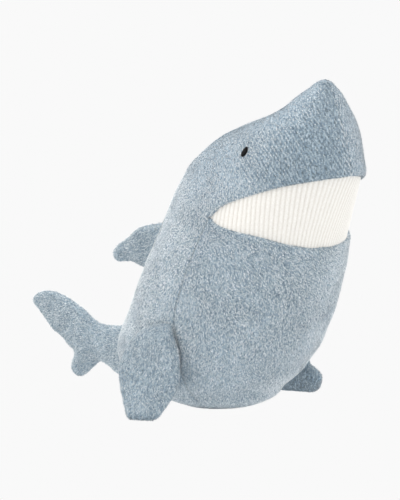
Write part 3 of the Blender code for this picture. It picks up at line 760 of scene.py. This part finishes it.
def filled(outline, cell):
    """Even triangles over the region inside an outline: (points, faces)."""
    line = cell * math.sqrt(3) / 2
    low, high = outline.min(axis=0), outline.max(axis=0)
    spots = []
    for row, v in enumerate(np.arange(low[1], high[1], line)):
        for u in np.arange(low[0] + (row % 2) * cell / 2, high[0], cell):
            spots.append((u, v))
    spots = np.array(spots)
    ring = np.concatenate([outline, outline[:1]])
    spots = spots[inside(spots, outline) & (line_distance(spots, ring) > cell * EDGE_MARGIN)]
    numbers = list(range(len(outline)))
    edges = list(zip(numbers, numbers[1:] + numbers[:1]))
    points = [Vector(p) for p in np.concatenate([outline, spots])]
    made = delaunay_2d_cdt(points, edges, [numbers], 1, 1e-7)
    return np.array([tuple(p) for p in made[0]]), [list(f) for f in made[2]]


def pocket(name, points_mm, closed, place, half, soft_edge):
    """A stuffed pocket: two skins joined at the edge seam, with a wadding piece inside.

    half gives its half thickness at (u, v), reached soft_edge away from the seam; place maps
    (u, v, n) to the frame. Returns the skin, the numbers of its seam points and the wadding.
    """
    outline = even_outline(points_mm, closed, POCKET_CELL)
    free_edge = outline if not closed else np.concatenate([outline, outline[:1]])
    spots, faces = filled(outline, POCKET_CELL)
    distance = line_distance(spots, free_edge)
    near = np.clip(distance / soft_edge, 0.0, 1.0)
    rise = half(spots) * np.sqrt(np.maximum(1.0 - (1.0 - near) ** POCKET_ROUNDING, 0.0))
    rise -= POCKET_SEAM_DIP * np.exp(-(distance / POCKET_SEAM_WIDTH) ** 2)
    on_edge = distance < ON_SEAM
    rise = np.where(on_edge, 0.0, np.maximum(rise, 0.0))
    verts = [place(u, v, h) for (u, v), h in zip(spots, rise)]
    lower_number = []
    for k, (u, v) in enumerate(spots):
        lower_number.append(k if on_edge[k] else len(verts))
        if not on_edge[k]:
            verts.append(place(u, v, -rise[k]))
    all_faces = faces + [[lower_number[k] for k in reversed(f)] for f in faces]
    piece = new_piece(name, verts, all_faces, PLUSH)
    deep = distance > WADDING_INSET
    inner_faces = [f for f in faces if all(deep[k] for k in f)]
    used = sorted({k for f in inner_faces for k in f})
    number = {k: i for i, k in enumerate(used)}
    inner_faces = [[number[k] for k in f] for f in inner_faces]
    room = np.maximum(rise - WADDING_GAP, WADDING_THINNEST)
    top, bottom = (np.array([place(*spots[k], room[k] * way) for k in used]) for way in (1.0, -1.0))
    wadding = closed_skin(name.replace("skin", "wadding"), top, bottom, inner_faces, WADDING)
    return piece, [int(k) for k in np.flatnonzero(on_edge)], wadding


def upright(u, v, n):
    """Blade that stands on the middle plane: u is y, v is z, n is to the side."""
    return (n, u, v)


def rounded(value, low, high):
    """Smooth step from 0 at low to 1 at high."""
    t = np.clip((value - low) / (high - low), 0.0, 1.0)
    return t * t * (3 - 2 * t)


def tucked(v):
    """How far the blade of a side fin is drawn in towards its top seam."""
    return FIN_TUCK * max(0.0, 1.0 - v / FIN_TUCK_LENGTH) ** 2


def hanging_place(u, v, n):
    """Blade of the right fin, hanging by the flank: u is y, v runs down it, n is outward."""
    lean = math.radians(SIDE_FIN_LEAN_DEG)
    top_x, top_z = SIDE_FIN_TOP
    toe_top, toe_tip = SIDE_FIN_TOE
    along = u - SIDE_FIN_MIDDLE_Y
    toe = toe_top + (toe_tip - toe_top) * v / SIDE_FIN_LENGTH
    slope = toe - 2.0 * SIDE_FIN_CUP * along
    out = Vector((1.0, -slope, math.tan(lean))).normalized() * n
    x = top_x + v * math.sin(lean) + toe * along - SIDE_FIN_CUP * along**2 - tucked(v)
    return (-x - out.x, u + out.y, top_z - v * math.cos(lean) + out.z)


def resting_place(u, v, n):
    """Blade of the left fin: it hugs the flank, and its tip is bent out by the floor."""
    x, ahead_x = through(LEFT_FIN_X, [v, v + LEFT_FIN_STEP])
    z, ahead_z = through(LEFT_FIN_Z, [v, v + LEFT_FIN_STEP])
    out = Vector((z - ahead_z, 0.0, ahead_x - x)).normalized() * n
    across = u - SIDE_FIN_MIDDLE_Y
    low = float(rounded(v, LEFT_FIN_BEND, LEFT_FIN_BEND + LEFT_FIN_BEND_RUN))
    bent = math.exp(-((v - LEFT_FIN_BEND) / LEFT_FIN_NOTCH_HALF) ** 2)
    x -= SIDE_FIN_CUP * across**2 + tucked(v)
    y = u - LEFT_FIN_SWEEP * low + LEFT_FIN_SPREAD * low * across
    y += LEFT_FIN_NOTCH * bent * max(0.0, -across)
    z = max(z - LEFT_FIN_TILT * low * max(0.0, across), LEFT_FIN_LOWEST)
    return (x + out.x, y, z + out.z)


def tapering(spots, start, length, thick, loss, power=1.0):
    """Half thickness that falls off along u."""
    return thick - loss * np.clip((spots[:, 0] - start) / length, 0.0, 1.0) ** power


def dimpled(spots, thick):
    """Half thickness of a side fin, thinner at the top seam and dimpled near its front edge."""
    away = ((spots - np.array(DIMPLE)) / np.array(DIMPLE_SIZE)) ** 2
    thick = thick - TOP_LOSS * rounded(-spots[:, 1], -TOP_LOSS_RUN, 0.0)
    return thick - DIMPLE_DEPTH * np.exp(-away.sum(axis=1))


def back_fin():
    def half(spots):
        return tapering(spots, 0.020, 0.095, 0.0080, 0.0030)

    return pocket("skin_back_fin", BACK_FIN_MM, False, upright, half, soft_edge=0.016)


def tail():
    def half(spots):
        return tapering(spots, 0.055, 0.150, 0.0155, 0.0100, 0.8)

    return pocket("skin_tail", TAIL_MM, False, upright, half, soft_edge=0.020)


def right_fin():
    def half(spots):
        return dimpled(spots, 0.0075 - 0.0015 * rounded(spots[:, 1], 0.05, 0.09))

    return pocket("skin_right_fin", SIDE_FIN_MM, True, hanging_place, half, soft_edge=0.020)


def left_fin():
    def half(spots):
        return dimpled(spots, 0.0062 + 0.0023 * rounded(spots[:, 1], 0.06, 0.08))

    return pocket("skin_left_fin", SIDE_FIN_MM, True, resting_place, half, soft_edge=0.013)


def vectors(items, name):
    """A vector property of mesh items, one row each."""
    flat = np.zeros(len(items) * 3, np.float32)
    items.foreach_get(name, flat)
    return flat.reshape(-1, 3).astype(float)


def move_points(mesh, spots):
    mesh.vertices.foreach_set("co", spots.astype(np.float32).ravel())


def swell(pockets):
    """Run the pockets' cloth under pressure, then keep its shape as plain meshes."""
    scene = bpy.context.scene
    for piece, held, wadding in pockets:
        piece.vertex_groups.new(name="held").add(held, 1.0, "REPLACE")
        cloth = piece.modifiers.new("cloth", "CLOTH")
        for name, value in CLOTH_SETTINGS.items():
            setattr(cloth.settings, name, value)
        cloth.settings.effector_weights.gravity = 0.0
        cloth.collision_settings.use_collision = False
        cloth.point_cache.frame_start = 1
        cloth.point_cache.frame_end = SETTLE_FRAMES
    for frame_number in range(1, SETTLE_FRAMES + 1):
        scene.frame_set(frame_number)
    graph = bpy.context.evaluated_depsgraph_get()
    for piece, held, wadding in pockets:
        start = vectors(piece.data.vertices, "co")
        move = vectors(piece.evaluated_get(graph).data.vertices, "co") - start
        length = np.linalg.norm(move, axis=1, keepdims=True)
        move_points(piece.data, start + move * SETTLE_LIMIT / (SETTLE_LIMIT + length))
    for piece, held, wadding in pockets:
        piece.modifiers.clear()
        piece.vertex_groups.clear()
    scene.frame_set(1)


def settle(pockets):
    """Lets each pocket's cloth swell over its filling while its seams hold still."""
    swell(pockets)
    for piece, held, wadding in pockets:
        outward(piece, capped=True)
        all_smooth(piece.data)
        piece.modifiers.new("finer", "SUBSURF").levels = 1
        graph = bpy.context.evaluated_depsgraph_get()
        mesh = bpy.data.meshes.new_from_object(piece.evaluated_get(graph))
        piece.modifiers.clear()
        piece.data = mesh
        for mesh in (piece.data, wadding.data):
            spots = vectors(mesh.vertices, "co")
            spots[:, 2] = np.maximum(spots[:, 2], FLOOR_CLEAR)
            move_points(mesh, spots)


# ---------------------------------------------------------------- pile

TUFT_AREA = 1.4e-6        # one tuft to this much cloth
TUFT_SHARE = 1.0
BLADES = 3                # in each tuft
BLADE_WIDTH = 0.00027 * 1.0
BLADE_WIDTHS = (0.8, 1.25)
BLADE_LENGTHS = (0.85, 1.12)
BLADE_WAIST = 0.85
BLADE_SINK = 0.00025
BLADE_RISE = (0.60, 0.95)    # how steeply blades stand, from the laziest to the most upright
BLADE_HALVES = ((0.60, 0.50), (0.90, 0.22))    # how far each half runs along the lay and stands up
GATHER = 0.00022          # how far a tuft's blades stand apart
GATHER_TIP = 0.35
TILT = 0.25
PILE_LENGTH = 0.0024
PILE_LENGTHS = (0.8, 1.15)
LONGER_CLUMPS = 0.16
SWIRL = 1.3               # radians by which the lay turns this way and that
STRAY = 0.35
CLUMPING = 1.2
# On the head the pile is combed straighter, more even and shorter by these shares.
HEAD_COMBED = 0.9
HEAD_EVEN = 0.7
HEAD_SMOOTH = 0.5
HEAD_SHORT = 0.25
CONTACT_PAINTED_SHADOW = 2.6             # painted contact shadow: how much darker the pile is made where it meets the floor
CONTACT_SHADOW_HEIGHT = 0.0055
ROW_PITCH = 0.0026
ROW_WARP = 0.5
# The way across the rows on the right half; the left half mirrors it.
HEAD_ROWS = (0.572, -0.613, 0.545)
HEAD_ROW_DEPTH = 2.86
BELLY_ROWS = (0.391, -0.419, 0.819)
BELLY_ROW_DEPTH = 0.88
STREAK_WIDTH = 0.0008     # the streaks are this fine and as long as their steps reach
STREAK_STEPS = (-0.0012, -0.0006, 0.0, 0.0006, 0.0012)
STREAK_GAIN = 1.6
# How much lighter or darker each part of the torso's pile is painted: painted sheen over the back, the neck
# and the half beyond the snout's ridge, painted shade by the ridge and low on the left side.
BACK_PAINTED_SHEEN = 1.0
NECK_PAINTED_SHEEN = 1.5
BEYOND_PAINTED_SHEEN = 0.8
RIDGE_PAINTED_SHADE = 3.3
LEFT_PAINTED_SHADE = 0.8
TONE_SPREAD = 0.5
PATCHES = 0.4
# A fibre's root and tip take the shade that its tone reaches among these steps.
TIP_STEPS = (-2.3, -0.95, 0.1, 1.2)
ROOT_STEPS = (-1.9, -0.4, 0.8)


def streaks(root, way, seed):
    """Noise drawn out along the pile's lay, about -1 to 1: the rows that the fibres clump in."""
    total = sum(soft_noise(root + way * step, STREAK_WIDTH, seed) for step in STREAK_STEPS)
    return total / math.sqrt(len(STREAK_STEPS)) * STREAK_GAIN


def rows(points):
    """How much lighter the slanted rows of the knit make the pile on the head and upper belly."""
    half = points.copy()
    half[:, 0] = -np.abs(half[:, 0])
    warp = ROW_WARP * soft_noise(points, 0.014, 4)
    head = rounded(points[:, 2], 0.195, 0.215)
    belly = rounded(points[:, 2], 0.085, 0.125) * (1.0 - head)
    wave_head = np.cos(math.tau * (half @ np.array(HEAD_ROWS) / ROW_PITCH + warp))
    wave_belly = np.cos(math.tau * (half @ np.array(BELLY_ROWS) / ROW_PITCH + warp))
    return HEAD_ROW_DEPTH * head * wave_head + BELLY_ROW_DEPTH * belly * wave_belly


def painted_sheen_and_shade(points):
    """Painted sheen and painted shade in the torso pile's tone: painted sheen over the back, the neck and
    the half beyond the snout's ridge, painted shade by the snout's ridge and low on the left side.
    """
    height = points[:, 2] / MM
    turn = np.degrees(np.arctan2(points[:, 0], through(CENTRE, height) * MM - points[:, 1]))
    aside = np.abs(turn)
    high = rounded(height, 190.0, 220.0)
    back = rounded(aside, 50.0, 108.0) * rounded(height, 20.0, 90.0)
    back *= 1.0 - 0.7 * rounded(aside, 120.0, 160.0) * (1.0 - high)
    neck = rounded(aside, 45.0, 88.0) * rounded(height, 165.0, 220.0)
    ridge = rounded(turn, -80.0, -25.0) * (1.0 - rounded(turn, -12.0, 2.0)) * rounded(height, 195.0, 215.0)
    beyond = rounded(turn, -10.0, 12.0)
    shaded = rounded(turn, 5.0, 45.0) * (1.0 - rounded(turn, 90.0, 130.0))
    shaded *= 1.0 - rounded(height, 140.0, 180.0)
    pale = back * BACK_PAINTED_SHEEN + neck * NECK_PAINTED_SHEEN + beyond * BEYOND_PAINTED_SHEEN
    return pale - ridge * RIDGE_PAINTED_SHADE - shaded * LEFT_PAINTED_SHADE


def tuft_roots(mesh, keep, rng):
    """Random even spots on the triangles that keep picks, and the skin's normals there."""
    mesh.calc_loop_triangles()
    tri = np.zeros(len(mesh.loop_triangles) * 3, np.int32)
    mesh.loop_triangles.foreach_get("vertices", tri)
    tri = tri.reshape(-1, 3)
    co = vectors(mesh.vertices, "co")
    no = vectors(mesh.vertex_normals, "vector")
    a, b, c = co[tri[:, 0]], co[tri[:, 1]], co[tri[:, 2]]
    flat = np.cross(b - a, c - a)
    area = np.linalg.norm(flat, axis=1) / 2
    use = keep((a + b + c) / 3, flat / np.maximum(area[:, None] * 2, TINY))
    tri, area = tri[use], area[use]
    count = int(area.sum() / TUFT_AREA * TUFT_SHARE)
    edges = np.concatenate([[0.0], np.cumsum(area)])
    spot = (np.arange(count) + rng.random(count)) / count * edges[-1]
    which = np.clip(np.searchsorted(edges, spot, side="right") - 1, 0, len(tri) - 1)
    r1, r2 = np.sqrt(rng.random(count)), rng.random(count)
    weights = np.stack([1 - r1, r1 * (1 - r2), r1 * r2], axis=-1)
    root = np.einsum("nk,nkd->nd", weights, co[tri[which]])
    return root, unit(np.einsum("nk,nkd->nd", weights, no[tri[which]]))


def blades(root, normal, way, size, rng):
    """Five corners for each tapered blade of each tuft."""
    count = len(root)
    rise = rng.uniform(*BLADE_RISE, count)[:, None]
    gather = rng.normal(0.0, GATHER, (count, BLADES, 3))
    verts = np.zeros((count, BLADES, 5, 3))
    for k in range(BLADES):
        start = root + gather[:, k]
        start -= normal * np.sum((start - root) * normal, axis=1, keepdims=True)
        half_long = (size * rng.uniform(*BLADE_LENGTHS, count))[:, None] * 0.5
        (lie_low, stand_low), (lie_high, stand_high) = BLADE_HALVES
        middle = start + (way * lie_low + normal * rise * stand_low) * half_long
        tip = middle + (way * lie_high + normal * rise * stand_high) * half_long
        tip += gather[:, (k + 1) % BLADES] * GATHER_TIP
        blade = unit(tip - start)
        across = unit(np.cross(blade, normal))
        tilt = rng.normal(0.0, TILT, count)[:, None]
        across = across * np.cos(tilt) + np.cross(blade, across) * np.sin(tilt)
        across *= BLADE_WIDTH * rng.uniform(*BLADE_WIDTHS, count)[:, None] / 2
        sunk = start - normal * BLADE_SINK
        waist = across * BLADE_WAIST
        for corner, place in enumerate((sunk - across, sunk + across, middle + waist, middle - waist, tip)):
            verts[:, k, corner] = place
    verts[..., 2] = np.maximum(verts[..., 2], FLOOR_CLEAR)
    return verts


def pile(name, source, seed, keep, nap, shade_shift=0.0, torso=False):
    """Short fibres in small tufts over a skin's outside, as one mesh of tapered blades.

    keep picks the triangles that carry pile; nap is the way it lies, or gives it at points;
    shade_shift makes it lighter or darker, all over or as it gives at points.
    """
    rng = np.random.default_rng(seed)
    root, normal = tuft_roots(source.data, keep, rng)
    count = len(root)
    lay = nap(root) if callable(nap) else np.broadcast_to(np.array(nap, float), normal.shape)
    lay = unit(lay - normal * np.sum(lay * normal, axis=1, keepdims=True))
    other = np.cross(normal, lay)
    head = rounded(root[:, 2], 0.165, 0.215) if torso else np.zeros(count)
    swirl = SWIRL * (1.0 - HEAD_COMBED * head) * soft_noise(root, 0.016, seed % 10 + 3)
    main = lay * np.cos(swirl)[:, None] + other * np.sin(swirl)[:, None]
    turn = swirl + rng.normal(0.0, STRAY, count) * (1.0 - HEAD_EVEN * head)
    way = unit(lay * np.cos(turn)[:, None] + other * np.sin(turn)[:, None])

    clump = streaks(root, main, 9)
    tone = rng.normal(0.0, TONE_SPREAD, count) + clump * CLUMPING * (1.0 - HEAD_SMOOTH * head)
    tone += soft_noise(root, 0.030, 8) * PATCHES
    tone += shade_shift(root) if callable(shade_shift) else shade_shift
    # painted contact shadow along the floor
    tone -= CONTACT_PAINTED_SHADOW * np.exp(-((root[:, 2] / CONTACT_SHADOW_HEIGHT) ** 2))
    # On the torso: painted sheen and painted shade, and the knit's rows.
    if torso:
        tone += painted_sheen_and_shade(root) + rows(root)
    size = PILE_LENGTH * rng.uniform(*PILE_LENGTHS, count)
    size *= 1.0 + LONGER_CLUMPS * np.clip(clump, -1.5, 1.5)
    verts = blades(root, normal, way, size * (1.0 - HEAD_SHORT * head), rng)

    # Each blade is a four-sided lower half in a root shade and a three-sided tip in a tip shade.
    total = count * BLADES
    base = (np.arange(total) * 5)[:, None]
    loops = np.concatenate([base + np.array([0, 1, 2, 3]), base + np.array([3, 2, 4])], axis=1)
    starts = np.arange(total)[:, None] * 7 + np.array([0, 4])
    tip_shades = np.digitize(tone, TIP_STEPS) + len(ROOT_SHADES)
    shades = np.stack([np.digitize(tone, ROOT_STEPS), tip_shades], axis=-1)
    mesh = bpy.data.meshes.new(name)
    mesh.vertices.add(total * 5)
    move_points(mesh, verts)
    mesh.loops.add(total * 7)
    mesh.loops.foreach_set("vertex_index", loops.ravel().astype(np.int32))
    mesh.polygons.add(total * 2)
    mesh.polygons.foreach_set("loop_start", starts.ravel().astype(np.int32))
    mesh.polygons.foreach_set("material_index", np.repeat(shades, BLADES, axis=0).ravel().astype(np.int32))
    for material in ROOT_SHADES + TIP_SHADES:
        mesh.materials.append(material)
    mesh.update(calc_edges=True)
    all_smooth(mesh)
    piece = placed(name, mesh)
    return piece


# ---------------------------------------------------------------- build

right_skin = side_skin("right", -1.0)
left_skin = side_skin("left", 1.0)
belly = belly_skin()
base_skin()
mouth_skin()
eye("right", -1.0)
eye("left", 1.0)

EYE_SPOTS = [torso_point(EYE_DEG * s, EYE_MM) for s in (-1.0, 1.0)]
EYE_BARE = 0.0021         # the stitches press the pile down inside this radius
EYE_FLATTEN = np.array([1.0, 1.0, 0.62])
ROLLED_IN = -0.0015       # faces that look further in than this carry no pile
LOWEST_PILE = 0.0008


def torso_outside(low_z, high_z):
    """Keeps the outward faces of a torso skin between two heights, off the eyes."""
    def keep(centre, face_normal):
        height = centre[:, 2]
        axis = np.stack([np.zeros(len(centre)), through(CENTRE, height / MM) * MM, height], axis=-1)
        use = np.sum((centre - axis) * face_normal, axis=1) > ROLLED_IN
        use &= (height >= low_z) & (height < high_z) & (height > LOWEST_PILE)
        for spot in EYE_SPOTS:
            use &= np.linalg.norm((centre - spot) * EYE_FLATTEN, axis=1) > EYE_BARE
        return use
    return keep


def side_nap(side):
    """Way the pile lies on a side panel: down the flank, forward and down on the head."""
    def nap(points):
        head = rounded(points[:, 2], 0.165, 0.215)[:, None]
        flank = np.array([0.0, 0.35, -0.93])
        snout = np.array([-0.30 * side, -0.45, -0.84])
        return flank * (1.0 - head) + snout * head
    return nap


def belly_nap(points):
    """Way the pile lies on the belly: down, and more to the left towards its top."""
    high = rounded(points[:, 2], 0.09, 0.150)[:, None]
    down = np.array([0.0, 0.0, -1.0])
    across = np.array([0.75, -0.2, -0.6])
    return down * (1.0 - high) + across * high


def torso_pile(name, skin, seed, low_z, high_z, nap):
    fuzz = pile(name, skin, seed, torso_outside(low_z, high_z), nap, torso=True)
    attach(fuzz, "torso")


FLANK_TOP = 0.105
SHOULDER_TOP = 0.186
BELLY_MIDDLE = 0.080
for word, side, skin, seed in (("right", -1.0, right_skin, 21), ("left", 1.0, left_skin, 31)):
    torso_pile("pile_flank_" + word, skin, seed, -1.0, FLANK_TOP, side_nap(side))
    torso_pile("pile_shoulder_" + word, skin, seed + 1, FLANK_TOP, SHOULDER_TOP, side_nap(side))
    torso_pile("pile_head_" + word, skin, seed + 2, SHOULDER_TOP, 1.0, side_nap(side))
torso_pile("pile_belly_lower", belly, 41, -1.0, BELLY_MIDDLE, belly_nap)
torso_pile("pile_belly_upper", belly, 42, BELLY_MIDDLE, 1.0, belly_nap)

fin_back = back_fin()
fin_tail = tail()
fins = {"right": right_fin(), "left": left_fin()}
settle([fin_back, fin_tail, fins["right"], fins["left"]])
INSIDE_SHARE = 0.985      # just short of 1, so that a pocket's pile starts right at the torso's skin


def outside_torso(centre, face_normal):
    """Keeps the faces that lie outside the torso's outline."""
    level = np.clip(centre[:, 2] / MM, 0.0, TOP_MM)
    y = (centre[:, 1] / MM - through(CENTRE, level)) / through(DEPTH, level)
    x = centre[:, 0] / MM / through(WIDTH, level)
    return ~((x**2 + y**2 < INSIDE_SHARE) & (centre[:, 2] > 0.0))


def dress_pocket(made, body, panels, seed, nap, shade_shift):
    """Grow a pocket's pile, hide the CAD panels and filling that it replaces, and bake its pieces'
    placement into their meshes.
    """
    skin, held, wadding = made
    fuzz = pile("pile_" + body, skin, seed, outside_torso, nap, shade_shift)
    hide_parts(*panels)
    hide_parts(body + "_filling")
    for piece in (skin, fuzz, wadding):
        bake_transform(piece)


dress_pocket(
    fin_back, "back_fin", ["back_fin_panel_left", "back_fin_panel_right"], 51, (0.0, 0.9, -0.3), -0.15,
)
dress_pocket(
    fin_tail, "tail", ["tail_panel_left", "tail_panel_right"], 52, (0.0, 0.95, -0.2), -0.2,
)


def left_fin_painted_shadow(points):
    """Painted shadow on the left fin's pile: a little darker all over, much darker low down and close under
    the belly.
    """
    low = np.exp(-((points[:, 2] / 0.030) ** 2))
    close = 1.0 - rounded(points[:, 0], 0.086, 0.104)
    return -0.5 - 2.4 * low * close


# The left fin's pile gets painted shadow.
for word, side, seed, shade_shift in (("right", -1.0, 53, -0.4), ("left", 1.0, 54, left_fin_painted_shadow)):
    dress_pocket(
        fins[word], word + "_fin", [f"{word}_fin_outer_panel", f"{word}_fin_inner_panel"],
        seed, (0.0, 0.1, -1.0), shade_shift,
    )

INSIDE_LOOKS = {
    "torso_filling": WADDING,
    "pellet_pouch_bottom": POUCH_CLOTH,
    "pellet_pouch_top": POUCH_CLOTH,
    "pellet_fill": PELLETS,
}
for name, look in INSIDE_LOOKS.items():
    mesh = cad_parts[name].data
    mesh.materials.clear()
    mesh.materials.append(look)

# ---------------------------------------------------------------- camera, floor and light

AZIMUTH = math.radians(-47.0)
ELEVATION = math.radians(7.0)
DISTANCE = 2.4
LENS = 201.8
BACK = Vector((
    math.sin(AZIMUTH) * math.cos(ELEVATION),
    -math.cos(AZIMUTH) * math.cos(ELEVATION),
    math.sin(ELEVATION),
))
RIGHT = Vector((math.cos(AZIMUTH), math.sin(AZIMUTH), 0.0))
UP = BACK.cross(RIGHT)
MIDDLE = Vector((0.0, -0.0365, 0.150))
AIM = MIDDLE - RIGHT * 0.0419 - UP * 0.0122
ROUND_LIGHT = 1.15        # the studio's light from every side, brighter overhead and behind
OVERHEAD_LIGHT = 1.05
BEHIND_LIGHT = 0.40
ROUND_TINT = (1.0, 0.995, 0.98, 1.0)
FLOOR_LIGHT = 1.3
FLOOR_TINT = (0.98, 0.99, 1.0, 1.0)
FLOOR_REACH = 60.0
FLOOR_Z = -0.0004
PAPER = (0.947, 0.947, 0.947, 1.0)
KEY_LIGHT = 0.4
KEY_FROM = (-RIGHT * 0.35 + UP * 0.9 + BACK * 0.25).normalized()
KEY_SPREAD = math.radians(60.0)


def aim(piece, direction):
    piece.rotation_mode = "QUATERNION"
    piece.rotation_quaternion = direction.to_track_quat("-Z", "Y")


def seen_apart(tree, unseen, seen, output):
    """The camera sees one shader, and the other lights the scene."""
    path = add_node(tree, "LightPath", {})
    both = add_node(tree, "MixShader", {
        "Fac": path.outputs["Is Camera Ray"], 1: unseen.outputs[0], 2: seen.outputs[0],
    })
    feed(tree, tree.nodes[output], {"Surface": both.outputs[0]})


def pale_floor():
    """A floor that glows evenly, so that the object stands on plain paper."""
    material = bpy.data.materials.new("pale_floor")
    material.use_nodes = True
    tree = material.node_tree
    tree.nodes.remove(tree.nodes["Principled BSDF"])
    matte = add_node(tree, "Emission", {"Color": FLOOR_TINT, "Strength": FLOOR_LIGHT})
    seen_apart(tree, matte, add_node(tree, "Emission", {"Color": PAPER}), "Material Output")
    ends = ((-1, -1), (1, -1), (1, 1), (-1, 1))
    corners = [(x * FLOOR_REACH, y * FLOOR_REACH, FLOOR_Z) for x, y in ends]
    new_piece("floor", corners, [[0, 1, 2, 3]], material)


def studio():
    """Even light from all round, stronger overhead and behind, before a plain backdrop."""
    world = bpy.data.worlds.new("studio")
    bpy.context.scene.world = world
    world.use_nodes = True
    tree = world.node_tree
    sky = add_node(tree, "TexCoord", {}).outputs["Generated"]
    brighter = Vector((0.0, 0.0, OVERHEAD_LIGHT)) - BACK * BEHIND_LIGHT
    toward = add_node(tree, "VectorMath", {0: sky, 1: brighter}, operation="DOT_PRODUCT")
    strength = add_node(tree, "Math", {0: toward.outputs["Value"], 1: ROUND_LIGHT}, operation="ADD")
    background = tree.nodes["Background"]
    feed(tree, background, {"Color": ROUND_TINT, "Strength": strength.outputs[0]})
    seen_apart(tree, background, add_node(tree, "Background", {"Color": PAPER}), "World Output")


camera_data = bpy.data.cameras.new("camera")
camera_data.sensor_width = 36.0
camera_data.lens = LENS
camera_data.clip_start = 0.05
camera_data.clip_end = 100.0
camera = placed("camera", camera_data)
camera.location = MIDDLE + BACK * DISTANCE
aim(camera, AIM - camera.location)
bpy.context.scene.camera = camera

pale_floor()
studio()
key_data = bpy.data.lights.new("key", "SUN")
key_data.energy = KEY_LIGHT
key_data.angle = KEY_SPREAD
aim(placed("key", key_data), -KEY_FROM)
bpy.context.scene.view_settings.view_transform = "Standard"
